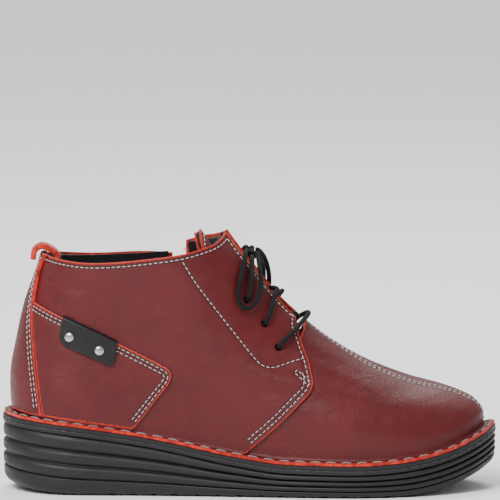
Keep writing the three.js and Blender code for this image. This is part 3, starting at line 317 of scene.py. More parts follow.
def form_point(phi, zeta):
    """Point of the form: phi is 0 at the heel, pi / 2 inside, pi along the instep, negative
    outside; zeta is the height above the sole's top."""
    phi, zeta = np.broadcast_arrays(np.asarray(phi, float), np.asarray(zeta, float))
    height = zeta / SHAFT
    back, front = HALF * back_line(height), HALF * front_line(height)
    x = (back + front) / 2 - (front - back) / 2 * np.cos(phi)
    across = ring_width(from_heel(phi), height) * np.sin(phi)
    roll = TOE_ROLL * smooth_step((x / HALF - 0.21) / 0.43) * smooth_step(height / 0.25) * across
    return np.stack([x, centre_line(x) + across, sole_top(x) + zeta + roll], -1)


def form_normal(phi, zeta):
    """Outward normal: the cross product of the steps up and round."""
    phi, zeta = np.asarray(phi, float), np.asarray(zeta, float)
    up = form_point(phi, zeta + 0.5) - form_point(phi, zeta - 0.5)
    side = form_point(phi + 0.01, zeta) - form_point(phi - 0.01, zeta)
    return unit(np.cross(up, side))


def locate(x, z, side):
    """phi and zeta of places seen from the side; side is 1 for the inner side."""
    x, z = np.asarray(x, float), np.asarray(z, float)
    zeta = z - sole_top(x)
    for _ in range(12):
        back, front = HALF * back_line(zeta / SHAFT), HALF * front_line(zeta / SHAFT)
        phi = side * np.arccos(np.clip(((back + front) / 2 - x) / ((front - back) / 2), -1, 1))
        zeta = zeta + z - form_point(phi, zeta)[..., 2]
    return phi, zeta


print("heel of the form", form_point(0, 90).round(1), "instep", form_point(math.pi, 90).round(1))

# %% [markdown]
# ## Turning the upper out
# The upper is not pulled under the sole. Its foot turns outwards and is sewn flat on the midsole,
# so it shows a raw edge all round. A separate flat strip would leave a gap at the bend, so one
# surface does both: below FOOT it bends from the wall to the flat margin, and below zero, zeta is
# the share of the way out to the margin's edge.

# %% Skin with a turned-out foot
FOOT = 4.5
MARGIN = 1.8  # thickness of the turned-out foot
SETBACK = 0.8  # how far its raw edge stays in from the sole's edge
TURN = 2.6  # how far out the bend reaches


def edge_wave(phi):
    """A hand-cut edge isn't quite even: three slow waves, in millimetres."""
    return (0.22 * np.sin(23 * phi + 0.7) + 0.16 * np.sin(41 * phi + 2.1)
            + 0.12 * np.sin(67 * phi))


def on_sole(xy, lift):
    """Points lying a lift above the sole's top."""
    return np.concatenate([xy, (sole_top(xy[..., 0]) + lift)[..., None]], -1)


def skin(phi, zeta, depth, lift):
    """Point of a layer at a depth outside the form, with its foot lying lift above the sole."""
    given = [np.asarray(value, float) for value in (phi, zeta, depth, lift)]
    phi, zeta, depth, lift = np.broadcast_arrays(*given)
    wall_zeta = np.maximum(zeta, FOOT)
    wall = form_point(phi, wall_zeta) + form_normal(phi, wall_zeta) * depth[..., None]
    foot = form_point(phi, 0 * zeta + 1) + form_normal(phi, 0 * zeta + FOOT) * depth[..., None]
    edge = sole_outline(phi, SETBACK + edge_wave(phi))
    out = edge - foot[..., :2]
    reach = np.linalg.norm(out, axis=-1)
    out /= np.maximum(reach, 1e-6)[..., None]
    corner = on_sole(foot[..., :2], lift)
    turn = np.minimum(TURN, 0.6 * reach)
    landing = on_sole(corner[..., :2] + out * turn[..., None], lift)
    t = np.clip(1 - zeta / FOOT, 0, 1)[..., None]
    bent = (1 - t) ** 2 * wall + 2 * t * (1 - t) * corner + t * t * landing
    share = np.clip(-zeta, 0, 1)
    flat = on_sole(landing[..., :2] + out * ((reach - turn) * share)[..., None], lift)
    return np.where((zeta >= FOOT)[..., None], wall, np.where((zeta >= 0)[..., None], bent, flat))


def skin_frame(phi, zeta, depth, lift):
    """Point, direction round, direction up and normal of a layer."""
    point = skin(phi, zeta, depth, lift)
    small = np.where(np.asarray(zeta) < FOOT, 0.05, 0.4)
    side = skin(phi + 0.004, zeta, depth, lift) - skin(phi - 0.004, zeta, depth, lift)
    up = skin(phi, zeta + small, depth, lift) - skin(phi, zeta - small, depth, lift)
    normal = np.cross(up, side)
    normal /= np.maximum(np.linalg.norm(normal, axis=-1, keepdims=True), 1e-9)
    return point, side / 0.008, up / (2 * small[..., None]), normal


# %% [markdown]
# ## Finishes
# Leather, rubber and cloth differ in tone, gloss and relief at certain sizes. Pictures could show
# that, but need unwrapping. Every finish is worked out from the place on the object instead. A
# small class keeps the node trees short to write, with sizes in millimetres.

# %% Short hand for node trees
def colour(code):
    """Colour from a six-digit code, in linear light."""
    parts = np.array([int(code[i:i + 2], 16) / 255 for i in (0, 2, 4)])
    linear = np.where(parts <= 0.04045, parts / 12.92, ((parts + 0.055) / 1.055) ** 2.4)
    return (*linear, 1)


class Finish:
    """A material under construction."""

    def __init__(self, name, **settings):
        self.material = bpy.data.materials.new(name)
        self.material.use_nodes = True
        self.tree = self.material.node_tree
        self.shader = self.tree.nodes["Principled BSDF"]
        self.place = self.tree.nodes.new("ShaderNodeTexCoord").outputs["Object"]
        self.put(**settings)

    def set(self, socket, value):
        if isinstance(value, bpy.types.NodeSocket):
            self.tree.links.new(value, socket)
        else:
            socket.default_value = value

    def put(self, **settings):
        """Sets the shader's own sockets."""
        for name, value in settings.items():
            self.set(self.shader.inputs[name.replace("_", " ")], value)

    def node(self, kind, inputs=(), **settings):
        made = self.tree.nodes.new("ShaderNode" + kind)
        for key, value in settings.items():
            setattr(made, key, value)
        for key, value in dict(inputs).items():
            self.set(made.inputs[key], value)
        return made

    def stretched(self, sizes):
        """Place divided by a size along x, y and z, in millimetres."""
        scale = [1000 / size for size in sizes]
        return self.node("Mapping", {"Vector": self.place, "Scale": scale}).outputs["Vector"]

    def noise(self, size, detail=2.0, rough=0.5, warp=0.0):
        sizes = size if isinstance(size, (list, tuple)) else [size] * 3
        return self.node("TexNoise", {"Vector": self.stretched(sizes), "Scale": 1.0,
                                      "Detail": detail, "Roughness": rough,
                                      "Distortion": warp}).outputs["Fac"]

    def cells(self, size, wander):
        """Round cells of a size, their borders moved about by noise."""
        place = self.stretched([size] * 3)
        shift = self.node("TexNoise", {"Vector": place, "Scale": 0.7, "Detail": 1.0})
        place = self.mix(wander, place, shift.outputs["Color"], "ADD")
        return self.node("TexVoronoi", {"Vector": place, "Scale": 1.0}).outputs["Distance"]

    def mark(self, name):
        return self.node("Attribute", attribute_name=name).outputs["Fac"]

    def math(self, operation, *values):
        made = self.node("Math", operation=operation)
        for socket, value in zip(made.inputs, values):
            self.set(socket, value)
        return made.outputs[0]

    def between(self, value, low, high, to_low=0.0, to_high=1.0):
        """Value carried smoothly from one range to another."""
        made = self.node("MapRange", {"Value": value, "From Min": low, "From Max": high,
                                      "To Min": to_low, "To Max": to_high},
                         interpolation_type="SMOOTHSTEP")
        return made.outputs["Result"]

    def mix(self, share, first, second, blend="MIX"):
        return self.node("MixRGB", {"Fac": share, "Color1": first, "Color2": second},
                         blend_type=blend).outputs["Color"]

    def bump(self, *layers):
        """Layers are (height, depth in millimetres), from the coarsest to the finest."""
        normal = None
        for height, depth in layers:
            inputs = {"Height": height, "Distance": depth * MM, "Strength": 1.0}
            if normal is not None:
                inputs["Normal"] = normal
            normal = self.node("Bump", inputs).outputs["Normal"]
        self.put(Normal=normal)
        return self


# %% [markdown]
# ## Leather
# The upper is smooth wine-red leather: fine grain, faint mottling from the dye, soft creases, and
# a painted shade line where a seam sinks it in. Where it was cut, the raw edge is bright red and
# ragged.
# A painted mask could place those two. Marks on the mesh are chosen, because they are exact:
# `seam` and `rim` are distances in millimetres from the nearest seam and the nearest cut edge.

# %% Leathers
WINE, WINE_DARK, WINE_LIGHT = colour("540F12"), colour("4C0D10"), colour("5C1215")
CUT_RED, CUT_RED_DARK = colour("C8321F"), colour("8E1D16")


def grain(finish, size):
    """Height of leather grain: small round cells broken up by noise."""
    cells = finish.cells(size, 0.6)
    return finish.math("ADD", finish.math("MULTIPLY", cells, 0.7), finish.noise(size * 0.45, 3.0))


def leather_finish(name, base, dark, light, seams=True):
    """Dyed grain leather; seams adds the red cut edge and painted shade along the stitches."""
    made = Finish(name, Specular_IOR_Level=0.32, Coat_Weight=0.05, Coat_Roughness=0.3)
    mottle = made.mix(made.between(made.noise(30, 3.0), 0.3, 0.7), dark, base)
    mottle = made.mix(made.between(made.noise(9, 3.0), 0.35, 0.8, 0, 0.5), mottle, light)
    height = grain(made, 1.0)
    mottle = made.mix(made.between(height, 0.75, 0.45, 0, 0.35), mottle, dark)
    roughness = made.between(made.noise(9, 3.0), 0.3, 0.75, 0.42, 0.52)
    if seams:
        # painted shade: the leather darkens towards 24070A along each seam, as shade in its groove
        seam_groove_and_shade = made.between(made.mark("seam"), 1.5, 0.35, 0, 0.55)
        mottle = made.mix(seam_groove_and_shade, mottle, colour("24070A"))
        ragged = made.math("ADD", made.mark("rim"),
                           made.between(made.noise(1.1, 2.0), 0.2, 0.8, -0.35, 0.35))
        cut = made.between(ragged, 0.95, 0.55)
        red = made.mix(made.noise(0.9, 3.0), CUT_RED_DARK, CUT_RED)
        mottle = made.mix(cut, mottle, red)
        roughness = made.math("MAXIMUM", roughness, made.math("MULTIPLY", cut, 0.85))
    made.put(Base_Color=mottle, Roughness=roughness)
    creases = made.noise((26, 26, 13), 2.0, 0.45, 1.2)
    return made.bump((creases, 0.7), (made.noise(4.5, 2.0), 0.09), (height, 0.13)).material


def raw_finish(name, bright, dark):
    """Torn fibre: two tones in soft blots, with fine dark pits between the fibres."""
    made = Finish(name, Roughness=0.9, Specular_IOR_Level=0.2, Sheen_Weight=0.25,
                  Sheen_Roughness=0.5)
    fibre = made.noise(0.55, 4.0, 0.65)
    tone = made.mix(made.between(made.noise(3.5, 2.0), 0.35, 0.7), dark, bright)
    made.put(Base_Color=made.mix(made.between(fibre, 0.45, 0.25, 0, 0.6), tone, dark))
    return made.bump((made.noise(1.6, 3.0), 0.3), (fibre, 0.18)).material


wine_leather = leather_finish("wine leather", WINE, WINE_DARK, WINE_LIGHT)
cut_edge = raw_finish("cut edge", CUT_RED, CUT_RED_DARK)
suede = raw_finish("suede", colour("B8301F"), colour("93221A"))
flesh_side = raw_finish("flesh side", colour("BE3422"), colour("86201A"))
black_leather = leather_finish("black leather", colour("0F0F11"), colour("09090A"),
                               colour("17171A"), False)


# %% [markdown]
# ## Textile, rubber, thread and metal
# The lining is a black fleece with a short nap, the sole is dull black rubber, the thread is pale
# grey and twisted, and the rivets are nickel. Hair would show the nap, but is heavy for a lining
# that is mostly in the dark. All are the same recipe: a tone mixed by noise, and bumps from the
# coarsest to the finest.

# %% Other finishes
def fleece_finish(name, base, dark, knot):
    """Short nap in tufts of a size."""
    made = Finish(name, Roughness=0.95, Specular_IOR_Level=0.15, Sheen_Weight=0.35,
                  Sheen_Roughness=0.4)
    tufts = made.noise(knot, 4.0, 0.7, 0.6)
    made.put(Base_Color=made.mix(made.between(tufts, 0.35, 0.65), dark, base))
    return made.bump((made.noise(6, 3.0), 0.6), (tufts, 0.45)).material


def rubber_finish(name, base, light):
    """Dull moulding with paler, rougher scuffs that run round it."""
    made = Finish(name, Specular_IOR_Level=0.4)
    scuffs = made.noise((14, 14, 3), 4.0, 0.6)
    made.put(Base_Color=made.mix(made.between(scuffs, 0.45, 0.75, 0, 0.7), base, light),
             Roughness=made.between(scuffs, 0.3, 0.7, 0.42, 0.66))
    return made.bump((made.noise(5, 2.0), 0.12), (made.noise(0.45, 3.0), 0.035)).material


def metal_finish(name, tone, worn, roughness):
    """Plated metal with fine scratches and patches that are duller than the rest."""
    made = Finish(name, Metallic=1.0)
    scratches = made.noise((0.5, 3.5, 3.5), 3.0)
    made.put(Base_Color=made.mix(made.between(scratches, 0.4, 0.7, 0, 0.6), tone, worn),
             Roughness=made.between(made.noise(1.5, 3.0), 0.3, 0.7, roughness, roughness + 0.15))
    return made.bump((scratches, 0.01)).material


def woven_finish(name, base, dark, pitch):
    """Plain weave: threads up where one wave is high, threads across where the other is."""
    made = Finish(name, Roughness=0.9, Specular_IOR_Level=0.2)
    first = made.node("TexWave", {"Vector": made.stretched([pitch] * 3), "Scale": 0.31},
                      bands_direction="DIAGONAL").outputs["Fac"]
    second = made.node("TexWave", {"Vector": made.stretched([-pitch, pitch, pitch]), "Scale": 0.31},
                       bands_direction="DIAGONAL").outputs["Fac"]
    threads = made.math("MAXIMUM", first, second)
    made.put(Base_Color=made.mix(threads, dark, base))
    return made.bump((threads, 0.12), (made.noise(0.3, 2.0), 0.04)).material


def thread_finish(name, base, dark):
    """Twisted thread: dark flecks between its plies."""
    made = Finish(name, Roughness=0.6, Sheen_Weight=0.2)
    twist = made.noise((0.35, 0.35, 0.35), 2.0)
    made.put(Base_Color=made.mix(made.between(twist, 0.4, 0.6, 0, 0.45), base, dark))
    return made.bump((twist, 0.06)).material


fleece = fleece_finish("fleece", colour("1B1B1F"), colour("0A0A0C"), 0.9)
pad_textile = fleece_finish("pad textile", colour("202024"), colour("101012"), 0.5)
rubber = rubber_finish("rubber", colour("121215"), colour("1D1D21"))
nickel = metal_finish("nickel", colour("B9B7B0"), colour("8F8D88"), 0.22)
blackened = metal_finish("blackened metal", colour("3A3A3C"), colour("6A6A6A"), 0.35)
tape_weave = woven_finish("tape weave", colour("1E1E21"), colour("08080A"), 0.7)
board_weave = woven_finish("board", colour("8C7355"), colour("6B553C"), 0.9)
foam_finish = fleece_finish("foam", colour("3C3C40"), colour("26262A"), 0.7)
pale_thread = thread_finish("pale thread", colour("B9AFAC"), colour("8A807D"))
grey_thread = thread_finish("grey thread", colour("857C7A"), colour("5C5553"))
black_thread = thread_finish("black thread", colour("1A1A1D"), colour("0B0B0C"))


def lace_finish():
    """Round braid: two families of strands that cross on the piece's own UV map, which runs
    round the lace across and along it upwards, in strand widths."""
    made = Finish("braided lace", Roughness=0.7, Specular_IOR_Level=0.2)
    parts = made.node("SeparateXYZ", {"Vector": made.node("UVMap").outputs["UV"]})
    across, along = parts.outputs["X"], parts.outputs["Y"]
    wave = lambda way: made.math("ABSOLUTE", made.math("SINE", made.math(
        "MULTIPLY", made.math(way, along, across), math.pi)))
    braid = made.math("MULTIPLY", wave("ADD"), wave("SUBTRACT"))
    raised_strand = made.between(braid, 0.02, 0.6)
    made.put(Base_Color=made.mix(raised_strand, colour("020203"), colour("1A1A1D")))
    return made.bump((braid, 0.4), (made.noise(0.25, 2.0), 0.06)).material


lace_braid = lace_finish()
tip_plastic = rubber_finish("tip plastic", colour("101012"), colour("1C1C1F"))

# %% [markdown]
# ## Laces
# A lace is a fixed length of soft round braid: across the foot of the throat, twice across the
# tongue, a bow with two loops, and two ends that hang down the inner side. A rope simulation
# could find its shape, but not the same each time. It is a tube along a listed route, the one
# that the frame's solids have: x, y, and the height above the sole's top.

# %% Routes
BAR = [
    [15.4, -27.7, 63.5], [16.2, -30.2, 64.7], [17.3, -31.8, 66.2], [18.7, -31.9, 68.1],
    [22, -29.4, 71.3], [26, -23.8, 74.9], [29.9, -16.2, 78.5], [32.6, -8, 80.7],
    [33.6, -0.6, 81.5], [32.5, 7, 80.7], [29.8, 15, 78.4], [26, 21.8, 74.9], [22, 27.1, 71.3],
    [18.6, 29.5, 68.1], [17.1, 29.4, 66.3], [16.1, 27.6, 64.8], [15.5, 25.2, 63.5],
]
OUTER_HALF = [
    [15, -25.7, 62.8], [16.3, -23.1, 65.2], [18.5, -21, 68.6], [21.5, -16, 72.4],
    [23.8, -12, 74.5], [25.3, -6, 76.3], [24.6, 0, 77.6], [22, 6, 78.5], [17, 11.5, 78.5],
    [12, 15.3, 77.5], [8.5, 17.8, 76.1], [7.3, 19.5, 75.5], [7.4, 21.6, 76], [8.4, 24, 77.1],
    [9.3, 26.1, 78.7], [10.8, 26, 81.1], [14, 22, 85.6], [17.2, 16.2, 89.6], [18.6, 11.8, 92.1],
    [18, 7.5, 92.2], [15.2, 2.5, 90.6], [11.5, -4, 89], [7.5, -11, 88.5], [2.5, -16.6, 88.5],
    [-1.8, -20.3, 87.7], [-3, -22.4, 87.4], [-2.8, -24.5, 87.8], [-1.6, -26.8, 88.9],
    [-0.7, -28.7, 90.4], [0.1, -28.9, 92.7], [0.9, -25.9, 97.9], [1.3, -23.1, 102.4],
    [1.5, -18.4, 107], [1.4, -13.2, 111], [1.3, -6.8, 111.9],
]
INNER_HALF = [
    [15.2, 23.4, 62.8], [16.2, 21, 65.1], [18.8, 17.8, 69.1], [23.6, 12.4, 74.3], [27, 7.5, 77.4],
    [26.6, 0, 80.4], [23.2, -7, 81.8], [17.8, -12.4, 80.5], [12.6, -17, 78.2], [8.4, -20.8, 76.1],
    [7.2, -22.5, 75.5], [7.3, -24.6, 75.9], [8.4, -26.9, 77.1], [9.4, -28.7, 78.7],
    [10.4, -28.6, 81.1], [12.2, -25.3, 85.5], [13.4, -20.7, 90], [14.6, -16.8, 93.8],
    [15.8, -13.2, 95.7], [14, -9, 96], [9.8, -3, 94.8], [6.3, 3, 93.5], [2.6, 9.6, 92.1],
    [0, 14, 90.4], [-2.2, 17.5, 88.5], [-3.3, 19, 87.4], [-2.8, 21.4, 87.8], [-1.6, 23.7, 88.9],
    [-0.7, 25.5, 90.4], [0.1, 25.6, 92.7], [0.9, 22.9, 97.9], [1.2, 20.2, 102.4],
    [1.4, 15.4, 107.3], [1.3, 10.4, 111], [1.2, 5.4, 111.8],
]
OUTER_LOOP = [
    [-1.3, -5.4, 114.6], [-1.9, -10.5, 114.9], [-2.2, -15.7, 113.6], [-2.8, -21, 109.9],
    [-4, -24.8, 104.7], [-5.4, -28.8, 99.3], [-6.2, -31, 93.9], [-6.2, -32.8, 89.1],
    [-4.6, -33.8, 85.8], [-1.4, -33.3, 85], [1.9, -31.2, 87], [4.7, -28.2, 91.2],
    [6.2, -24.8, 95.7], [6.6, -21.8, 99.9], [6.3, -18.8, 103.9], [5.7, -15, 108],
    [5.1, -10.8, 111.5], [4.5, -6, 114.3],
]
INNER_LOOP = [
    [4.4, 3.8, 115.1], [6, 7.2, 113.8], [8, 11.4, 111], [9.7, 15.6, 106.8], [10.8, 19, 101.9],
    [11.2, 21.4, 96.8], [10.8, 23.4, 91.9], [9.4, 25.6, 87.5], [6.6, 27.6, 84.3], [3, 29.2, 82.7],
    [-1, 30.6, 83.2], [-3.9, 30.9, 86.1], [-5.2, 29.8, 90.7], [-5.4, 28.2, 96.3],
    [-5.2, 25.2, 102.1], [-4.6, 21, 107.4], [-3.8, 17.2, 111.2], [-2.8, 12.6, 113.7],
    [-1.9, 8, 114.9], [-1.3, 4.4, 114.7],
]
FRONT_END = [
    [5.3, 2.2, 111.6], [6.4, 6, 109.3], [7.2, 10.6, 106.8], [7.8, 14.6, 103.3], [8, 17.9, 98.8],
    [7.6, 21.6, 93.5], [7, 26, 89.4], [6.8, 30.6, 86], [6.8, 32.6, 80.8], [7, 32.8, 74.8],
    [7, 33.4, 68.6], [7.2, 34.8, 62.2], [7.4, 36.4, 56.1], [7.5, 37.6, 51.5],
]
REAR_END = [
    [1.6, 4.6, 115.2], [1.2, 8.8, 115], [0.6, 13, 112.7], [-0.2, 17.4, 108.6],
    [-0.8, 21.8, 103.7], [-1, 25.4, 98.5], [-1, 28.6, 93.1], [-0.9, 31.8, 88.1],
    [-0.8, 34.1, 83.1], [-0.8, 34.2, 77.1], [-0.9, 34.6, 70.9], [-1, 35.6, 64.7],
    [-1.2, 36.8, 58.4], [-1.4, 38.2, 52.8],
]
KNOT = [1.5, -0.8, 112.9]
LACE = 2.8


def laid(route):
    """Route in the row frame: the sole's top is added to each height."""
    x, y, rise = np.array(route, float).T
    return np.stack([x, y, sole_top(x) + rise], -1)


def through(points, step):
    """Points a step apart on the centripetal Catmull-Rom curve through the given points."""
    p = np.asarray(points, float)
    p = np.concatenate([[2 * p[0] - p[1]], p, [2 * p[-1] - p[-2]]])
    a, b, c, d = p[:-3], p[1:-2], p[2:-1], p[3:]
    gap = [np.linalg.norm(q, axis=1, keepdims=True) ** 0.5 for q in (b - a, c - b, d - c)]
    slope_b = ((b - a) / gap[0] - (c - a) / (gap[0] + gap[1]) + (c - b) / gap[1]) * gap[1]
    slope_c = ((c - b) / gap[1] - (d - b) / (gap[1] + gap[2]) + (d - c) / gap[2]) * gap[1]
    t = np.linspace(0, 1, 24, endpoint=False)[:, None, None]
    line = ((2 * t**3 - 3 * t**2 + 1) * b + (t**3 - 2 * t**2 + t) * slope_b
            + (3 * t**2 - 2 * t**3) * c + (t**3 - t**2) * slope_c)
    line = np.concatenate([line.transpose(1, 0, 2).reshape(-1, 3), p[-2:-1]])
    return spaced(line, step)


def spaced(line, step, count=None):
    """The same line with points an even distance apart."""
    line = np.asarray(line, float)
    run = run_along(line)
    count = count or max(2, int(round(run[-1] / step)) + 1)
    return stops_on(line, run, np.linspace(0, run[-1], count))


def carried(path):
    """Directions across a path, turned as little as possible from one point to the next."""
    along = unit(np.gradient(path, axis=0))
    side = np.zeros_like(path)
    last = np.array([1, 0.2, 0.1])  # any direction that the path's first stretch doesn't take
    for i, t in enumerate(along):
        last = last - t * np.dot(last, t)
        last /= np.linalg.norm(last)
        side[i] = last
    return along, side, np.cross(along, side)


STRAND = 0.9  # width of one strand of the braid
END_RINGS = 3


def both_ends(values):
    """An array with its first and its last row repeated for the rounded ends."""
    return np.concatenate([np.repeat(values[:1], END_RINGS, 0), values,
                           np.repeat(values[-1:], END_RINGS, 0)])


def tube_piece(name, path, radius, finish, sides=16):
    """Round tube: point = path + radius (cos a side + sin a across), with rounded ends; the
    radius may change along the path."""
    along, side, across = carried(path)
    angle = np.linspace(0, 2 * math.pi, sides + 1)[None, :, None]
    radii = np.broadcast_to(np.asarray(radius, float), (len(path),)).copy()
    turn = np.linspace(0, math.pi / 2, END_RINGS + 1)[:-1]
    head = path[0] - along[0] * (radii[0] * 0.5 * np.cos(turn))[:, None]
    tail = path[-1] + along[-1] * (radii[-1] * 0.5 * np.cos(turn[::-1]))[:, None]
    path = np.concatenate([head, path, tail])
    side, across = both_ends(side), both_ends(across)
    radii = np.concatenate([radii[0] * np.sin(turn).clip(0.05), radii,
                            radii[-1] * np.sin(turn[::-1]).clip(0.05)])
    ring = np.cos(angle) * side[:, None] + np.sin(angle) * across[:, None]
    points = path[:, None] + radii[:, None, None] * ring
    turns = np.round(2 * math.pi * np.mean(radii) / STRAND / 2) * 2
    uv = np.stack(np.broadcast_arrays(np.linspace(0, turns / 2, sides + 1)[None],
                                      (run_along(path) / STRAND / 2)[:, None]), -1)
    return closed_tube(name, points, uv, finish)


def closed_tube(name, points, uv, finish):
    """Welds the tube's seam but keeps its UV map whole there, and closes both ends with fans."""
    rows, columns = points.shape[0], points.shape[1] - 1
    quads = grid_faces(rows, columns + 1)
    number = np.arange(rows * columns).reshape(rows, columns)
    number = np.hstack([number, number[:, :1]])
    spoke = np.arange(1, columns - 1)
    fan = np.stack([spoke, spoke + 1, 0 * spoke], -1)
    first, last = number[0][fan], number[-1][fan]
    piece = mesh_piece(name, points[:, :-1].reshape(-1, 3),
                       [number.ravel()[quads], first, last[:, ::-1]], [finish])
    layer = piece.data.uv_layers.new(name="UVMap")
    corner_uv = np.concatenate([uv.reshape(-1, 2)[quads.ravel()],
                                np.zeros((3 * (len(first) + len(last)), 2))])
    layer.data.foreach_set("uv", corner_uv.astype(np.float32).ravel())
    return piece


# %% [markdown]
# ## Laying the laces
# The stretches across the throat are held by the holes. The loops and ends are free, so the
# length of each is printed. A bevelled curve would be shorter to write. A mesh tube is chosen,
# because its own UV map carries the crossing strands of the braid.

# %% Laces
BRAID_SWELL, BRAID_STEP = 0.03, 0.6


def lace_piece(name, route):
    """Lace along a route, its braid a little thicker and thinner in turn."""
    path = through(laid(route), BRAID_STEP)
    beat = BRAID_SWELL * np.sin(np.arange(len(path)) * 1.9)
    piece = tube_piece(f"{name}_braid", path, LACE / 2 * (1 - BRAID_SWELL + beat), lace_braid)
    settle(piece, "boot", "lace", name)
    return piece, path


def run_length(path):
    """Length of a path in millimetres."""
    return float(np.linalg.norm(np.diff(path, axis=0), axis=1).sum())


for name, route in (("bar", BAR), ("half_outer", OUTER_HALF), ("half_inner", INNER_HALF)):
    lace_piece(f"lace_{name}", route)
for side, route in (("outer", OUTER_LOOP), ("inner", INNER_LOOP)):
    loop, path = lace_piece(f"lace_loop_{side}", route)
    run_length(path) * MM
    print(loop.name, "length", round(run_length(path), 1), "mm")

TIP_LENGTH, TIP = 16, 3
for side, route in (("front", FRONT_END), ("rear", REAR_END)):
    end, path = lace_piece(f"lace_end_{side}", route)
    down = unit(path[-1] - path[-3])
    stops = np.array([0, 0.5, 1, 1.6, TIP_LENGTH - 2.2, TIP_LENGTH - 1.5, TIP_LENGTH - 0.3])
    tip_path = path[-1] + down * (0.4 + stops)[:, None]
    radii = TIP / 2 * np.array([0.86, 0.97, 1, 0.98, 0.93, 0.86, 0.62])
    tip = tube_piece(f"lace_tip_{side}_sleeve", tip_path, radii, tip_plastic, sides=18)
    settle(tip, "boot", "plastic", f"lace_tip_{side}")
    run_length(path) * MM
    print(end.name, "length", round(run_length(path), 1), "mm")

# %% [markdown]
# The bow's knot is the lace wound round itself. Its true path is long and mostly hidden. A
# trefoil drawn flat over the tongue is chosen, because it gives the three crossings that a
# tightened knot shows.

# %% Knot
def knot_path(count=90):
    """Trefoil (sin t + 2 sin 2t, cos t - 2 cos 2t, -sin 3t), drawn small on a leaning plane."""
    t = np.linspace(0.2, 2 * math.pi + 0.1, count)
    across = np.sin(t) + 2 * np.sin(2 * t)
    up = np.cos(t) - 2 * np.cos(2 * t)
    out = -np.sin(3 * t)
    lean = math.radians(42)
    x = -up * 0.72 * math.sin(lean) + out * 1.15 * math.cos(lean)
    z = up * 0.72 * math.cos(lean) + out * 1.15 * math.sin(lean)
    return np.stack([x, across * 1.3, z], -1) + laid([KNOT])[0]


knot = tube_piece("lace_knot_braid", knot_path(), LACE / 2 * 0.94, lace_braid)
settle(knot, "boot", "lace", "lace_knot")


# %% [markdown]
# ## Sole
# The sole is three rubber mouldings cemented together. A block with its grooves cut away by
# booleans would do, but leaves long thin faces. Each is a stack of the same outline instead,
# moved in by the inset of its wall, so ribs and grooves run right round in even columns.

# %% Sole
ROUND = 600


def even_angles(count):
    """Angles whose outline points are evenly spaced, and mirrored about the heel-toe axis."""
    fine = np.linspace(0, math.pi, 2001)
    line = sole_outline(fine, np.zeros(len(fine)))
    run = run_along(line)
    half = np.interp(np.linspace(0, run[-1], count // 2 + 1), run, fine)
    return np.concatenate([half, -half[-2:0:-1]])


ANGLES = even_angles(ROUND)


def moulding(name, wall, low, high, finish, notches=None):
    """Stack of rings: wall holds [share of the height, inset]; both ends are closed by a ladder
    of faces from one side to the other."""
    rings = []
    for share, inset in wall:
        xy = sole_outline(ANGLES, np.full(ROUND, float(inset)))
        z = low(xy[:, 0]) + share * (high(xy[:, 0]) - low(xy[:, 0]))
        if notches is not None:
            z = np.maximum(z, low(xy[:, 0]) + notches(xy[:, 0]))
        rings.append(np.concatenate([xy, z[:, None]], -1))
    points = np.concatenate(rings)
    faces = [grid_faces(len(wall), ROUND, True)]
    rungs = 12
    share = np.linspace(0, 1, rungs + 1)[1:-1, None]
    for ring, row, surface, flip in ((rings[0], 0, low, False),
                                     (rings[-1], len(wall) - 1, high, True)):
        left = np.arange(1, ROUND // 2)
        right = ROUND - left
        inside = ring[left][:, None] * (1 - share) + ring[right][:, None] * share
        inside[..., 2] = surface(inside[..., 0])
        if notches is not None and row == 0:
            inside[..., 2] += notches(inside[..., 0])
        base = len(points)
        points = np.concatenate([points, inside.reshape(-1, 3)])
        between = base + np.arange(len(left) * (rungs - 1)).reshape(len(left), rungs - 1)
        grid = np.concatenate([row * ROUND + left[:, None], between,
                               row * ROUND + right[:, None]], 1)
        quads = np.stack([grid[:-1, :-1], grid[1:, :-1], grid[1:, 1:], grid[:-1, 1:]], -1)
        quads = quads.reshape(-1, 4)
        tips = []
        for end, spot in ((0, row * ROUND), (-1, row * ROUND + ROUND // 2)):
            a, b = grid[end, :-1], grid[end, 1:]
            tip = np.stack([a, b, np.full(len(a), spot)], -1)
            tips.append(tip if end == 0 else tip[:, ::-1])
        faces += [quads, *tips] if flip else turned([quads, *tips])
    if orientation(points, faces[0]) < 0:
        faces = turned(faces)
    return mesh_piece(name, points, faces, [finish], sharp=32)


def orientation(points, quads):
    """Positive when a closed wall's faces look away from the middle of the boot."""
    a, b, c = (points[quads[:, k]] for k in (0, 1, 2))
    normal = np.cross(b - a, c - a)
    middle = (a + c) / 2
    out = middle[:, :2] - np.stack([middle[:, 0] * 0.8, centre_line(middle[:, 0])], -1)
    return float((normal[:, :2] * out).sum())


# %% [markdown]
# ## Walls of the three mouldings
# Seen in section, the wedge has three rounded ribs, the midsole a thin lip and the outsole a
# smooth band that draws in to a grooved tread. Bevels could round their edges. The section is
# given as insets instead, so that rib, groove and edge are one smooth line.

# %% Midsole, wedge and outsole
MIDSOLE, TREAD_SHARE = 5, 0.28
midsole_bottom = lambda x: sole_top(x) - MIDSOLE
wedge_top = lambda x: midsole_bottom(x) - GAP
tread_top = lambda x: sole_bottom(x) + TREAD_SHARE * (wedge_top(x) - sole_bottom(x))
wedge_bottom = lambda x: tread_top(x) + GAP


def rib_wall():
    """Wall of the wedge: three rounded ribs with a groove of 1.5 mm between them."""
    share = np.linspace(0, 1, 41)
    inset = np.full(len(share), 0.4)
    for groove in (0.315, 0.65):
        inset += 1.7 * np.exp(-((share - groove) / 0.042) ** 2)
    inset += 0.9 * np.exp(-(share / 0.03) ** 2) + 1.0 * np.exp(-((1 - share) / 0.04) ** 2)
    for rib in (0.155, 0.48, 0.825):
        inset -= 0.35 * np.exp(-((share - rib) / 0.1) ** 2)
    return np.stack([share, inset], -1)


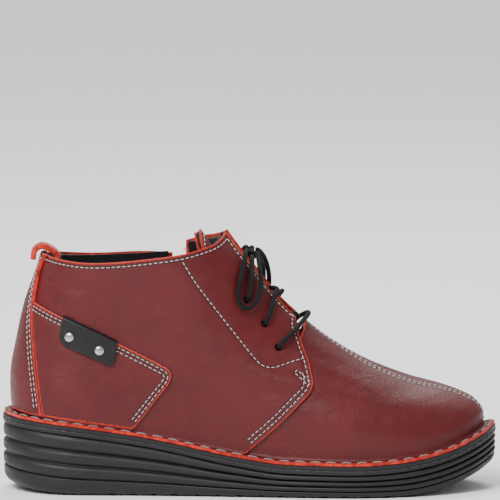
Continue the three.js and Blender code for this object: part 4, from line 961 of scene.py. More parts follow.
def lip_wall():
    """Wall of the midsole, with rounded edges and a fine groove under its top."""
    share = np.linspace(0, 1, 17)
    inset = (0.8 * np.exp(-(share / 0.06) ** 2) + 0.75 * np.exp(-((1 - share) / 0.07) ** 2)
             + 0.35 * np.exp(-((share - 0.55) / 0.05) ** 2))
    return np.stack([share, inset], -1)


GROOVE_PITCH, GROOVE_WIDTH, GROOVE_DEPTH = 12, 3, 1.3


def tread_notch(x):
    """Depth of the cross grooves over the flat tread."""
    shift = np.abs(((x / GROOVE_PITCH) % 1) - 0.5) * GROOVE_PITCH
    flat = np.abs(x) < 0.62 * HALF
    return np.where(flat & (shift < GROOVE_WIDTH / 2), GROOVE_DEPTH, 0)


OUTSOLE_WALL = [[0, 5], [0.06, 3.7], [0.14, 2.5], [0.24, 1.6], [0.36, 1.0], [0.5, 0.6],
                [0.68, 0.5], [0.9, 0.5], [0.97, 0.7], [1, 1.1]]
for name, node, wall, low, high, notches in (
        ("midsole_lip", "midsole", lip_wall(), midsole_bottom, sole_top, None),
        ("wedge_ribs", "wedge", rib_wall(), wedge_bottom, wedge_top, None),
        ("outsole_tread", "outsole", OUTSOLE_WALL, sole_bottom, tread_top, tread_notch)):
    settle(moulding(name, wall, low, high, rubber, notches), "boot", "rubber", node)


# %% [markdown]
# ## Cutting the leathers
# A real upper is clicked out of flat hides and stitched layer on layer. Here each leather is cut
# in the two numbers of the form, phi and zeta: four edges are drawn and a Coons patch fills them.
# The layer's two faces are then laid at their depths, holes are punched, and the open border is
# closed with a raw edge.

# %% Edges and patches
OUTER, INNER = -1, 1


def even_on_form(line, count, first=None, last=None):
    """The same edge in count points, evenly spaced on the form; first and last pin its ends on its
    neighbours' corners."""
    place = form_point(line[:, 0], np.maximum(line[:, 1], 0))
    lift = np.minimum(line[:, 1], 0) * 3
    place = place + np.stack([0 * lift, 0 * lift, lift], -1)
    run = run_along(place)
    edge = stops_on(line, run, np.linspace(0, run[-1], count))
    for end, corner in ((0, first), (-1, last)):
        if corner is not None:
            edge[end] = corner
    return edge


def smooth_edge(line, times=1):
    """Corner cutting: each step keeps the ends and rounds the rest."""
    line = np.asarray(line, float)
    for _ in range(times):
        cut = np.stack([0.75 * line[:-1] + 0.25 * line[1:], 0.25 * line[:-1] + 0.75 * line[1:]], 1)
        line = np.concatenate([line[:1], cut.reshape(-1, 2), line[-1:]])
    return line


def coons(bottom, top, left, right):
    """Grid (up, across) filled from its edges: bottom and top run across, left and right up."""
    s = np.linspace(0, 1, len(bottom))[None, :, None]
    t = np.linspace(0, 1, len(left))[:, None, None]
    ruled = (1 - t) * bottom[None] + t * top[None] + (1 - s) * left[:, None] + s * right[:, None]
    corners = ((1 - s) * (1 - t) * bottom[0] + s * (1 - t) * bottom[-1]
               + (1 - s) * t * top[0] + s * t * top[-1])
    return ruled - corners


# %% [markdown]
# ## Dents and distances
# Leather sinks along a seam and waves where it was worn. A bump map alone would leave its outline
# too straight, so the waves move the points. The distance from every point to the seams and to
# the cut edges is measured once, for the shape and for the finish.

# %% Distances and dents
NO_SEAM = 9.0  # a distance past which a seam or an edge no longer marks the leather
PAIRS_AT_ONCE = 2_000_000  # keeps the table of distances small


def nearest(points, lines):
    """Distance from each point to the nearest of the sampled lines, NO_SEAM at most."""
    best = np.full(len(points), NO_SEAM)
    for line in lines:
        line = np.asarray(line, float)
        blocks = max(1, len(points) * len(line) // PAIRS_AT_ONCE)
        for block in np.array_split(np.arange(len(points)), blocks):
            gap = points[block, None] - line[None]
            best[block] = np.minimum(best[block], np.sqrt((gap**2).sum(-1)).min(1))
    return best


def dent(phi, zeta):
    """Worn-in waves of the leather, in millimetres: broad all over, and soft folds where the
    ankle bends, fading out at the sole."""
    wave = (0.34 * np.sin(5 * phi + 0.045 * zeta + 0.6) * np.sin(0.071 * zeta + 2 * phi)
            + 0.2 * np.sin(11 * phi - 0.06 * zeta) * np.sin(0.13 * zeta - 3 * phi + 1))
    across = from_heel(phi)
    ankle = np.exp(-((across - 2.05) / 0.42) ** 2) * np.exp(-((zeta - 48) / 20) ** 2)
    folds = 0.5 * ankle * np.sin(0.33 * (zeta + 26 * across) + 0.4)
    return (wave + folds) * smooth_step((zeta - 3) / 16)


# %% [markdown]
# ## One leather
# A leather has a grain face, a flesh face, a cut edge and punched holes. Solidify would give the
# thickness, but not a different finish on each face or a foot that lies flat. So both faces are
# laid at their own depths, and the open border between them is closed. For a hole, the nearest
# points move onto its circle and the faces inside it are left out.

# %% Leather panels
WELD = [4e3, 40]  # steps per unit of phi and zeta within which two points are one
PULL_FROM, PULL_TO = 0.42, 1.42  # shares of a hole's radius between which points go to its rim


def leather_panel(name, node, patches, depths, lift, holes=(), seams=(), closed=(),
                  finishes=None, slot="leather"):
    """Leather between two depths: patches are grids in (phi, zeta) that share their edges.

    holes are (phi, zeta, radius); seams are lines of points where the leather sinks and is
    darkened by painted shade; closed are lines of points where the border is joined to its
    neighbour and shows no raw edge."""
    flat = np.concatenate([patch.reshape(-1, 2) for patch in patches])
    _, first, number = np.unique(np.round(flat * WELD).astype(np.int64), axis=0,
                                 return_index=True, return_inverse=True)
    number = number.ravel()
    place = flat[first]
    faces, base = [], 0
    for patch in patches:
        rows, columns = patch.shape[:2]
        faces.append(number[grid_faces(rows, columns) + base])
        base += rows * columns
    faces = np.concatenate(faces)
    inner, outer = depths
    middle = (inner + outer) / 2
    punched = np.zeros(len(place), bool)
    for phi, zeta, radius in holes:
        centre, side, up, _ = (v[0] for v in skin_frame(np.array([phi]), np.array([zeta]),
                                                        np.array([middle]), 0.0))
        spots = skin(place[:, 0], place[:, 1], middle, lift)
        gap = spots - centre
        far = np.linalg.norm(gap, axis=1)
        ring = (far > radius * PULL_FROM) & (far < radius * PULL_TO)
        pull = gap[ring] * (radius / far[ring] - 1)[:, None]
        basis = np.stack([side, up], -1)
        place[ring] += pull @ np.linalg.pinv(basis).T
        punched |= ring
        inside = far <= radius * PULL_FROM
        faces = faces[~(inside | ring)[faces].all(1)]
    edges = np.concatenate([faces[:, [k, (k + 1) % 4]] for k in range(4)])
    key = np.sort(edges, 1)
    _, where, uses = np.unique(key[:, 0] * (len(place) + 1) + key[:, 1], return_index=True,
                               return_counts=True)
    border = edges[where[uses == 1]]
    border = border[border[:, 0] != border[:, 1]]
    rim = np.zeros(len(place), bool)
    rim[border.ravel()] = True
    wave = dent(place[:, 0], place[:, 1])
    out_face = skin(place[:, 0], place[:, 1], outer - 0.22 * rim + wave, lift + MARGIN - 0.2 * rim)
    in_face = skin(place[:, 0], place[:, 1], inner + wave, np.full(len(place), float(lift)))
    raw = rim & ~punched
    if len(closed):
        raw &= nearest(out_face, closed) > 0.6
    cut = nearest(out_face, [out_face[raw]])
    cut[raw] = 0
    # distance to the seams: it sinks a groove here and, as the seam mark, places the painted shade
    seam_groove_and_shade = nearest(out_face, seams)
    groove = 0.3 * np.exp(-(seam_groove_and_shade / 0.9) ** 2)
    normal = out_face - in_face
    normal /= np.maximum(np.linalg.norm(normal, axis=1), 0.2)[:, None]
    out_face = out_face - normal * groove[:, None]
    n = len(place)
    soft = (out_face[rim] * 0.5 + in_face[rim] * 0.5)
    index = np.full(n, -1)
    index[rim] = np.arange(rim.sum()) + 2 * n
    points = np.concatenate([out_face, in_face, soft])
    a, b = border.T
    upper_wall = np.stack([b, a, index[a], index[b]], -1)
    lower_wall = np.stack([index[b], index[a], a + n, b + n], -1)
    blocks = [faces, faces[:, ::-1] + n, upper_wall, lower_wall]
    p = out_face[faces]
    facing = (np.cross(p[:, 1] - p[:, 0], p[:, 2] - p[:, 0]) * normal[faces[:, 0]]).sum()
    if facing < 0:
        blocks = turned(blocks)
    wall_finish = np.where(raw[a] & raw[b], 1, 2)
    finish_index = np.concatenate([np.zeros(len(faces), int), np.full(len(faces), 2),
                                   wall_finish, wall_finish])
    marks = {"rim": np.concatenate([cut, cut, cut[rim]]),
             "seam": np.concatenate([seam_groove_and_shade, seam_groove_and_shade, seam_groove_and_shade[rim]])}
    piece = mesh_piece(name, points, blocks, finishes or [wine_leather, cut_edge, flesh_side],
                       index=finish_index, marks=marks, sharp=55)
    return settle(piece, "boot", slot, node)


# %% [markdown]
# ## Stitches
# A seam is a row of short threads that dip into the leather at both ends. A texture could draw
# it, but wouldn't catch the light or stand out at an edge. Small beads do, and all the beads of a
# seam are one mesh.

# %% Rows and stitches
def inset_line(line, face, distance, inward):
    """Line moved in from an edge by a distance on a face (depth, lift); inward is 1 or -1, the side
    that the panel lies on when walking along the edge, seen from outside the boot."""
    point, side, up, normal = skin_frame(*line.T, *face)
    along = unit(np.gradient(point, axis=0))
    goal = np.cross(normal, along) * inward * distance
    basis = np.stack([side, up], -1)
    step = np.einsum("nij,nj->ni", np.linalg.pinv(basis), goal)
    limit = np.array([1.3 * distance / 12, 1.5 * distance])  # near the foot the form folds up
    return line + np.clip(step, -limit, limit)


def on_skin(line, face):
    """Points of a line on the dented face of a layer."""
    return skin(*line.T, face[0] + dent(*line.T), face[1])


def stitch_beads(centres, along, normals, length, radius):
    """Stitches at many places at once: each is a bead of seven rings of six points, whose middle
    stands proud and whose ends dip into the leather."""
    rings = np.array([-1, -0.86, -0.45, 0, 0.45, 0.86, 1])
    swell = np.array([0.35, 0.8, 1, 1.02, 1, 0.8, 0.35])
    dip = (0.25 - 0.55 * rings**2) * 1.4
    angle = np.arange(6) * math.pi / 3
    across = np.cross(along, normals)
    beads = (centres[:, None, None]
             + along[:, None, None] * (rings[None, :, None, None] * length / 2)
             + normals[:, None, None] * (dip * radius)[None, :, None, None]
             + (np.cos(angle)[None, None, :, None] * across[:, None, None]
                + np.sin(angle)[None, None, :, None] * normals[:, None, None])
             * (swell * radius)[None, :, None, None])
    count = len(centres)
    base = np.arange(count)[:, None] * 42
    wall = grid_faces(7, 6, True)
    caps = np.array([[0, 1, 2, 3], [0, 3, 4, 5], [39, 38, 37, 36], [41, 40, 39, 36]])
    quads = np.concatenate([wall, caps])
    return beads.reshape(-1, 3), (quads[None] + base[:, :, None]).reshape(-1, 4)


STITCH_PITCH, STITCH_LENGTH, THREAD_RADIUS = 3.0, 2.1, 0.29


def sewn(name, rows):
    """One piece for all the stitches of a seam: rows are (line, face)."""
    points, faces, base = [], [], 0
    for line, face in rows:
        fine = on_skin(line, face)
        run = run_along(fine)
        count = max(2, int(run[-1] / STITCH_PITCH))
        stops = (np.arange(count) + 0.5) * run[-1] / count
        at = lambda s: stops_on(line, run, s)
        here = at(stops)
        along = on_skin(at(stops + 0.5), face) - on_skin(at(stops - 0.5), face)
        along /= np.maximum(np.linalg.norm(along, axis=1, keepdims=True), 1e-6)
        *_, normal = skin_frame(*here.T, *face)
        tilt = 0.05 * np.sin(np.arange(count) * 2.4)[:, None]
        along = along + np.cross(normal, along) * tilt
        length = STITCH_LENGTH * (1 + 0.06 * np.sin(np.arange(count) * 1.7))[:, None, None, None]
        beads, quads = stitch_beads(on_skin(here, face), along, normal, length, THREAD_RADIUS)
        points.append(beads)
        faces.append(quads + base)
        base += len(beads)
    piece = mesh_piece(name, np.concatenate(points), turned([np.concatenate(faces)]), [pale_thread])
    return settle(piece, "boot", "textile")


# %% [markdown]
# ## Outlines
# These are the shoemaker's paper patterns. Each point is a share of half the sole's length and,
# above the sole's top, a share of the shaft's height, so the patterns grow with the boot. A few
# points and corner cutting are enough, where a traced edge would have hundreds.

# %% Outlines
OUTER_COLLAR = [[-0.843, 0.93], [-0.714, 0.932], [-0.607, 0.949], [-0.464, 0.997], [-0.286, 1.073],
                [-0.164, 1.153]]
COLLAR_REAR = [[-0.843, 0.93], [-0.714, 0.919], [-0.607, 0.934], [-0.429, 0.982], [-0.3131, 1.0]]
COLLAR_FRONT = [[-0.2589, 1.09], [-0.18, 1.15]]
FACING_FOOT = [0.182, 0.745]
QUARTER_FRONT = [[-0.036, 0], [-0.02, 0.021], [0.11, 0.209], [0.226, 0.376], [0.248, 0.415],
                 [0.256, 0.46], [0.243, 0.536], [0.214, 0.645], FACING_FOOT]
VAMP_REAR = [[-0.033, 0], [-0.012, 0.03], [-0.012, 0.055], [-0.04, 0.09], [0.2, 0.5], [0.193, 0.58],
             [0.193, 0.66], [0.225, 0.75]]
STRAP_EDGE = [[-0.882, 0.59], [-0.877, 0.43], [-0.868, 0.247], [-0.85, 0.06], [-0.842, 0.024]]
STRAP_UPPER = [[-0.826, 0.93], [-0.847, 0.863], [-0.87, 0.715], [-0.882, 0.59]]
THROAT = 24
QUARTER = (GAP, GAP + 1.6)
VAMP = (-1.6, 0.0)
OVERLAY = QUARTER[1] + GAP
OVER_LIFT = GAP + MARGIN  # overlays and seams stand on the turned-out foot
FLANGE_ROWS = 5


def side_line(points, side, count=60, rounding=0):
    """(phi, zeta) line through side-view places, straight from each to the next."""
    places = smooth_edge(points, rounding)
    dense = spaced(places, 1, count)
    x = dense[:, 0] * HALF
    phi, zeta = locate(x, sole_top(x) + dense[:, 1] * SHAFT, side)
    return np.stack([phi, zeta], -1)


def ridge_line(distance, zeta, side):
    """phi where the skin is a plan distance from the centre line, near the ridge."""
    phi = np.full(len(zeta), side * (math.pi - 0.1))
    for _ in range(30):
        width = ring_width(from_heel(phi), zeta / SHAFT)
        away = distance(form_point(phi, zeta)[:, 0]) if callable(distance) else distance
        phi = 0.5 * phi + 0.5 * side * (math.pi - np.arcsin(np.clip(away / width, -1, 1)))
    return np.stack([phi, zeta], -1)


def facing_line(side, top_x):
    """Edge of the throat: up from the quarter's front, then along the slot to the collar."""
    slot = ridge_line(THROAT / 2, np.linspace(60, 130, 141), side)
    x = form_point(slot[:, 0], slot[:, 1])[:, 0]
    foot_zeta = np.interp(-FACING_FOOT[0] * HALF, -x, slot[:, 1])
    top_zeta = np.interp(-top_x * HALF, -x, slot[:, 1])
    upper = ridge_line(THROAT / 2, np.linspace(foot_zeta, top_zeta, 60), side)
    corner = form_point(upper[:1, 0], upper[:1, 1])[0]
    foot_height = (corner[2] - sole_top(corner[0])) / SHAFT
    upright = side_line([FACING_FOOT, [FACING_FOOT[0], float(foot_height)]], side, 12)
    return np.concatenate([upright[:-1], upper])


def seam_line(side, gap=0.12):
    """Seam along the toe: it sways to the outer side of the middle."""
    sway = lambda x: 7 * np.sin(math.pi * smooth_step((x / HALF - 0.2) / 0.9))
    away = (lambda x: sway(x) + gap) if side == OUTER else (lambda x: gap - sway(x))
    zeta = np.concatenate([np.linspace(0, 40, 81), np.linspace(40.5, 95, 110)])
    line = ridge_line(away, zeta, side)
    x = form_point(line[:, 0], line[:, 1])[:, 0]
    top = np.interp(-0.225 * HALF, -x, zeta)
    return ridge_line(away, np.concatenate([zeta[zeta < top - 0.3], [top]]), side)


def flanged(bottom):
    """Patch for the flat margin below a wall patch's bottom edge."""
    out = bottom.copy()
    out[:, 1] = -1
    up = lambda k: np.linspace([bottom[k, 0], -1], bottom[k], FLANGE_ROWS)
    return coons(out, bottom, up(0), up(-1))


def bottom_line(a, b, count):
    """Even places on the sole between two angles."""
    line = np.stack([np.linspace(a, b, 400), np.zeros(400)], -1)
    return even_on_form(line, count)


LACE_HOLES = [[-0.014, 0.886], [0.058, 0.768], [0.114, 0.644]]
EYELET = 4.6


def lace_holes(side):
    """Each hole as (phi, zeta, radius)."""
    return [(phi, zeta, EYELET / 2) for phi, zeta in
            (side_line([hole, hole], side, 2)[0] for hole in LACE_HOLES)]


# %% [markdown]
# ## Quarters
# The outer quarter is one leather from the heel seam to the throat; its front runs down over the
# vamp in a rounded corner. The inner quarter is split from the collar nearly to the sole for the
# zip. The slot could be cut from a whole quarter, but the cut would be jagged. Five patches round
# the slot give it straight edges.

# %% Edges of the quarters
ZIP_X, ZIP_SLOT = -0.286 * HALF, 7.6
zip_low = float(sole_top(ZIP_X)) + 20

front_out = {side: side_line(QUARTER_FRONT, side, 200, 1) for side in (OUTER, INNER)}
facing = {OUTER: facing_line(OUTER, -0.106), INNER: facing_line(INNER, -0.1)}
front_edge = {side: np.concatenate([front_out[side][:-1], facing[side]]) for side in (OUTER, INNER)}

ROWS, COLUMNS = 112, 168
HEEL_PHI = 0.002  # the quarters stop this short of the heel seam


def heel_edge(side):
    """Edge up the heel seam, from the sole to the collar."""
    top = side_line(OUTER_COLLAR[:2], side, 2)[0, 1]
    return np.stack([np.full(200, side * HEEL_PHI), np.linspace(0, top, 200)], -1)


outer_top = np.concatenate([side_line(OUTER_COLLAR, OUTER, 200, 2), facing[OUTER][-1:]])
outer_top = even_on_form(outer_top, COLUMNS, first=heel_edge(OUTER)[-1])
outer_bottom = bottom_line(OUTER * HEEL_PHI, front_out[OUTER][0, 0], COLUMNS)
outer_right = even_on_form(front_edge[OUTER], ROWS, first=outer_bottom[-1])
outer_wall = coons(outer_bottom, outer_top, even_on_form(heel_edge(OUTER), ROWS), outer_right)

LOW_ROWS, HIGH_ROWS = 26, 96
REAR_COLUMNS, SLOT_COLUMNS, FRONT_COLUMNS = 84, 9, 84
slot_u = [(ZIP_X + k * ZIP_SLOT / 2) / HALF for k in (-1, 1)]
tall = lambda u: (zip_low - float(sole_top(u * HALF))) / SHAFT
slot_low = [even_on_form(side_line([[u, 0.0], [u, tall(u)]], INNER, 60), LOW_ROWS) for u in slot_u]
slot_high = [even_on_form(side_line([[u, tall(u)], [u, top]], INNER, 60), HIGH_ROWS)
             for u, top in ((slot_u[0], COLLAR_REAR[-1][1]), (slot_u[1], COLLAR_FRONT[0][1]))]
for low, high in zip(slot_low, slot_high):
    low[0, 1] = 0
    high[0] = low[-1]
inner_heel = even_on_form(heel_edge(INNER), LOW_ROWS + HIGH_ROWS - 1)
inner_front = even_on_form(front_edge[INNER], LOW_ROWS + HIGH_ROWS - 1)
inner_front[0, 1] = 0
rear_top = even_on_form(side_line(COLLAR_REAR, INNER, 200, 2), REAR_COLUMNS,
                        inner_heel[-1], slot_high[0][-1])
front_top = np.concatenate([side_line(COLLAR_FRONT, INNER, 80), facing[INNER][-1:]])
front_top = even_on_form(front_top, FRONT_COLUMNS, slot_high[1][-1], inner_front[-1])
rear_bottom = bottom_line(HEEL_PHI, slot_low[0][0, 0], REAR_COLUMNS)
mid_bottom = bottom_line(slot_low[0][0, 0], slot_low[1][0, 0], SLOT_COLUMNS)
front_bottom = bottom_line(slot_low[1][0, 0], inner_front[0, 0], FRONT_COLUMNS)
mid_top = even_on_form(np.array([slot_low[0][-1], slot_low[1][-1]]), SLOT_COLUMNS)
rear_split = even_on_form(np.array([inner_heel[LOW_ROWS - 1], slot_low[0][-1]]), REAR_COLUMNS)
front_split = even_on_form(np.array([slot_low[1][-1], inner_front[LOW_ROWS - 1]]), FRONT_COLUMNS)
inner_patches = [
    flanged(rear_bottom), flanged(mid_bottom), flanged(front_bottom),
    coons(rear_bottom, rear_split, inner_heel[:LOW_ROWS], slot_low[0]),
    coons(mid_bottom, mid_top, slot_low[0], slot_low[1]),
    coons(front_bottom, front_split, slot_low[1], inner_front[:LOW_ROWS]),
    coons(rear_split, rear_top, inner_heel[LOW_ROWS - 1:], slot_high[0]),
    coons(front_split, front_top, slot_high[1], inner_front[LOW_ROWS - 1:]),
]

# %% [markdown]
# ## Seam lines
# Each seam is a line a few millimetres in from an edge. It could be drawn by hand, but would
# wander from the edge, so it is worked out from it. It is used twice: the leather sinks under it
# and is darkened by painted shade there, and the stitches lie on it.

# %% Seam lines
EDGE_IN, TWIN = 2.6, 2.5


def rows_of(line, face, inward, distances, trim):
    """Lines inside an edge at several distances, shortened at their ends by so many millimetres."""
    found = []
    for distance in distances:
        row = even_on_form(inset_line(line, face, distance, inward), 240)
        run = run_along(form_point(row[:, 0], row[:, 1]))
        keep = (run >= trim[0]) & (run <= run[-1] - trim[1])
        found.append((row[keep], face))
    return found


def lines_of(rows):
    """Sampled points on the skin along seam rows."""
    return [spaced(on_skin(*row), 0.8) for row in rows]


QUARTER_FACE = (QUARTER[1], OVER_LIFT)
outer_collar_rows = rows_of(outer_top, QUARTER_FACE, -1, [EDGE_IN], (4, 3))
wall_front = {side: front_out[side][front_out[side][:, 1] > 7] for side in (OUTER, INNER)}
facing_rows = {side: rows_of(np.concatenate([wall_front[side][:-1], facing[side]]),
                             QUARTER_FACE, -side, [EDGE_IN], (0, 3)) for side in (OUTER, INNER)}
below_corner = {side: wall_front[side][:int(0.74 * len(wall_front[side]))]
                for side in (OUTER, INNER)}
front_rows = {side: rows_of(below_corner[side], QUARTER_FACE, -side,
                            [EDGE_IN + TWIN], (0, 4.5)) for side in (OUTER, INNER)}


def bar_tack(side):
    """Small rectangle sewn where the quarter's corner takes the strain of the laces."""
    corners = [[0.180, 0.508], [0.234, 0.438], [0.2447, 0.454], [0.1907, 0.524], [0.180, 0.508]]
    return [(side_line(corners, side, 80), QUARTER_FACE)]


def eyestay(side):
    """Row that starts at the collar, runs behind the lace holes and turns to the throat."""
    row = [[-0.272, 1.045], [-0.219, 0.936], [-0.159, 0.841], [-0.058, 0.684], [0.01, 0.585],
           [0.045, 0.538], [0.09, 0.528], [0.14, 0.556], [0.22, 0.585]]
    return [(side_line(row, side, 200, 2), QUARTER_FACE)]


collar_inner_rows = (rows_of(rear_top, QUARTER_FACE, 1, [EDGE_IN], (4, 5))
                     + rows_of(front_top, QUARTER_FACE, 1, [EDGE_IN], (5, 3)))
SLOT_EDGE_IN, BELOW_SLOT = 3, 4  # the rows beside the slot start a few points below it
slot_rows = [(inset_line(np.concatenate([low[:-1], high]), QUARTER_FACE,
                         SLOT_EDGE_IN, way)[LOW_ROWS - BELOW_SLOT:-4], QUARTER_FACE)
             for low, high, way in zip(slot_low, slot_high, (-1, 1))]
slot_foot = np.array([slot_rows[0][0][0], slot_rows[1][0][0]])
slot_rows.append((even_on_form(slot_foot, 20), QUARTER_FACE))

seams_outer = (outer_collar_rows + facing_rows[OUTER] + front_rows[OUTER] + bar_tack(OUTER)
               + eyestay(OUTER))
seams_inner = (collar_inner_rows + facing_rows[INNER] + front_rows[INNER] + bar_tack(INNER)
               + eyestay(INNER) + slot_rows)

# %% [markdown]
# Both quarters are now cut and sewn. Their holes, seams and edges are ready, so each takes one
# call, and each seam's stitches are a piece of their own, as thread is.

# %% Quarters
leather_panel("quarter_outer_leather", "quarter_outer", [flanged(outer_bottom), outer_wall],
              QUARTER, GAP, holes=lace_holes(OUTER), seams=lines_of(seams_outer))
leather_panel("quarter_inner_leather", "quarter_inner", inner_patches, QUARTER, GAP,
              holes=lace_holes(INNER), seams=lines_of(seams_inner))
sewn("stitches_quarter_outer", seams_outer)
sewn("stitches_quarter_inner", seams_inner)

# %% [markdown]
# ## Vamp
# Two halves meet in a seam along the toe, sewn down on both sides of the join. One piece with a
# drawn line would look alike from afar, but a real join has a groove. The vamp goes under the
# quarters and up to the throat.

# %% Vamp halves
VAMP_ROWS, VAMP_COLUMNS = 130, 130
VAMP_FACE = (VAMP[1], OVER_LIFT)


def vamp_half(side):
    seam = seam_line(side)
    rear = side_line(VAMP_REAR, side, 200, 1)
    crest_height = float((form_point(*seam[-1])[2] - sole_top(0.225 * HALF)) / SHAFT)
    crest = side_line([VAMP_REAR[-1], [0.225, crest_height]], side, 120)
    top = even_on_form(crest, VAMP_COLUMNS)
    top[-1] = seam[-1]
    left = even_on_form(rear, VAMP_ROWS)
    left[-1], left[0, 1] = top[0], 0
    bottom = bottom_line(left[0, 0], seam[0, 0], VAMP_COLUMNS)
    right = even_on_form(seam, VAMP_ROWS)
    return [flanged(bottom), coons(bottom, top, left, right)], seam


vamp_seams = {}
for side, word in ((OUTER, "outer"), (INNER, "inner")):
    patches, seam = vamp_half(side)
    low_seam = seam[seam[:, 1] > 5]
    rows = rows_of(low_seam, VAMP_FACE, -side, [1.6], (0, 4))
    vamp_seams[side] = rows
    leather_panel(f"vamp_{word}_leather", f"vamp_{word}", patches, VAMP, GAP,
                  seams=lines_of(rows), closed=[spaced(on_skin(seam, VAMP_FACE), 0.4)])
sewn("stitches_vamp", vamp_seams[OUTER] + vamp_seams[INNER])


# %% [markdown]
# ## Heel: strap, patches and tab
# A back strap covers the heel seam. On each side a patch runs down from it to the sole. Both lie
# on the quarters as a second layer, so the same panels serve, only further out and ending on the
# turned-out foot.

# %% Back strap and heel patches
FLOOR_ZETA = 2.7  # where overlays end above the turned-out foot
STRAP = (OVERLAY, OVERLAY + 2.0)
PATCH = (OVERLAY, OVERLAY + 1.5)
STRAP_STANDS_OUT = 0.02  # the strap's face lies behind the form's back line


def strap_edge_line(side):
    ahead = [[u + STRAP_STANDS_OUT, h] for u, h in STRAP_UPPER + STRAP_EDGE[1:]]
    return side_line(ahead, side, 200, 1)[::-1]


strap_line = {side: strap_edge_line(side) for side in (OUTER, INNER)}


def lifted(line, floor=FLOOR_ZETA):
    """The line with its lowest stretch kept on the floor of the overlays."""
    line = line.copy()
    line[:, 1] = np.maximum(line[:, 1], floor)
    return line


def strap_patch(rows=110, columns=40):
    left, right = (even_on_form(lifted(strap_line[side]), rows) for side in (OUTER, INNER))
    top = np.linspace(left[-1], right[-1], columns)
    bottom = np.linspace([left[0, 0], FLOOR_ZETA], [right[0, 0], FLOOR_ZETA], columns)
    left[0], right[0] = bottom[0], bottom[-1]
    return coons(bottom, top, left, right), left, right


strap_grid, strap_left, strap_right = strap_patch()
TOP_LIFT = OVER_LIFT + MARGIN
strap_rows = [row for edge, way in ((strap_left, 1), (strap_right, -1))
              for row in rows_of(edge[edge[:, 1] > 7], (STRAP[1], TOP_LIFT), way, [1.7, 3.9],
                                 (1, 3))]
leather_panel("back_strap_leather", "back_strap", [strap_grid], STRAP, OVER_LIFT,
              seams=lines_of(strap_rows))

PATCH_OUTLINE = [[-0.866, 0.664], [-0.62, 0.552], [-0.362, 0.436], [-0.314, 0.412],
                 [-0.316, 0.348], [-0.36, 0.26], [-0.46, 0.06], [-0.478, 0.028]]
RIVETS = [[-0.718, 0.509], [-0.604, 0.457]]
RIVET_HOLE = 1.6


def heel_patch(side, rows=84, columns=110):
    """Patch between the strap and its own slanting top and front edges."""
    border = strap_line[side]
    height = border[:, 1]
    edge = side_line(PATCH_OUTLINE, side, 300, 3)
    corner = int(np.argmax(form_point(edge[:, 0], edge[:, 1])[:, 0]))
    border = border[height <= edge[0, 1]].copy()
    border[:, 0] += side * 0.4 / 40
    left = even_on_form(lifted(border), rows)
    top = edge[:corner + 1]
    top = np.concatenate([left[-1:], top[top[:, 0] * side > left[-1, 0] * side + 0.01]])
    top = even_on_form(top, columns)
    front = even_on_form(lifted(edge[corner:])[::-1], rows)
    bottom = np.linspace([left[0, 0], FLOOR_ZETA], [front[0, 0], FLOOR_ZETA], columns)
    front[-1], front[0], left[0] = top[-1], bottom[-1], bottom[0]
    return coons(bottom, top, left, front), top, front


PATCH_EDGE, PATCH_TWIN = 1.9, 2.1
for side, word in ((OUTER, "outer"), (INNER, "inner")):
    grid, top, front = heel_patch(side)
    run = np.concatenate([top[:-1], front[::-1]])
    rows = rows_of(even_on_form(run[run[:, 1] > 7], 200), (PATCH[1], TOP_LIFT), side,
                   [PATCH_EDGE, PATCH_EDGE + PATCH_TWIN], (1, 0))
    holes = [(*side_line([rivet, rivet], OUTER, 2)[0], RIVET_HOLE) for rivet in RIVETS]
    holes = holes if side == OUTER else []
    leather_panel(f"heel_patch_{word}_leather", f"heel_patch_{word}", [grid], PATCH, OVER_LIFT,
                  holes=holes, seams=lines_of(rows))
    sewn(f"stitches_heel_patch_{word}", rows)
sewn("stitches_back_strap", strap_rows)

# %% [markdown]
# The tab is one strip of smooth black leather: its top is folded down over the patch's edge, and
# its two lower corners are round. A bent plane with Solidify could make it. Two grids joined
# round their border are chosen, because the fold goes round the edge that it covers.

# %% Tab
TAB = (PATCH[1] + GAP, PATCH[1] + GAP + 1.5)
TAB_ENDS = (-0.742, -0.53)


def tab_grid(rows=46, columns=70):
    """Grid down the tab and round its fold; corners are rounded by shortening its lower ends."""
    slant = (0.433 - 0.665) / (-0.357 + 0.87)  # of the patch's top edge
    rear, front = (np.array([u, 0.665 + (u + 0.87) * slant]) for u in TAB_ENDS)
    along = front - rear
    down = np.array([-0.018, -0.142])
    t = np.linspace(0, 1, columns)
    s = np.linspace(0, 1, rows)
    corner = 0.16
    sink = np.minimum(t, 1 - t) / corner
    reach = 1 - 0.32 * (1 - np.sqrt(np.clip(1 - (1 - np.clip(sink, 0, 1)) ** 2, 0, 1)))
    uh = (rear + along * t[None, :, None]) + down * (s[:, None] * reach[None])[..., None]
    x = uh[..., 0] * HALF
    return locate(x, sole_top(x) + uh[..., 1] * SHAFT, OUTER)


def tab_piece(fold_rows=9, rise=1.7):
    """Strip over the patch: its top rolls over the patch's edge through a quarter turn."""
    phi, zeta = tab_grid()
    rows, columns = phi.shape
    angle = np.linspace(math.pi / 2, 0, fold_rows)[:-1, None]
    fold_phi = np.repeat(phi[:1], fold_rows - 1, 0)
    fold_zeta = zeta[:1] + rise * np.sin(angle)
    fold_start = OVERLAY + 0.1
    fold_depth = fold_start + (TAB[1] - fold_start) * np.cos(angle)
    outer = np.concatenate([
        skin(fold_phi, fold_zeta, fold_depth + dent(fold_phi, fold_zeta), OVER_LIFT),
        skin(phi, zeta, TAB[1] + dent(phi, zeta) - 0.25 * edge_round(rows, columns), OVER_LIFT)])
    inner_phi = np.concatenate([fold_phi, phi])
    inner_zeta = np.concatenate([zeta[:1] + 0.4 * np.sin(angle), zeta])
    inner_depth = np.concatenate([
        np.broadcast_to(np.minimum(fold_depth - 0.05, TAB[0]), fold_phi.shape),
        np.full(phi.shape, TAB[0])])
    inner = skin(inner_phi, inner_zeta, inner_depth + dent(inner_phi, inner_zeta), OVER_LIFT)
    return slab_from(outer, inner, "tab_leather", [black_leather])


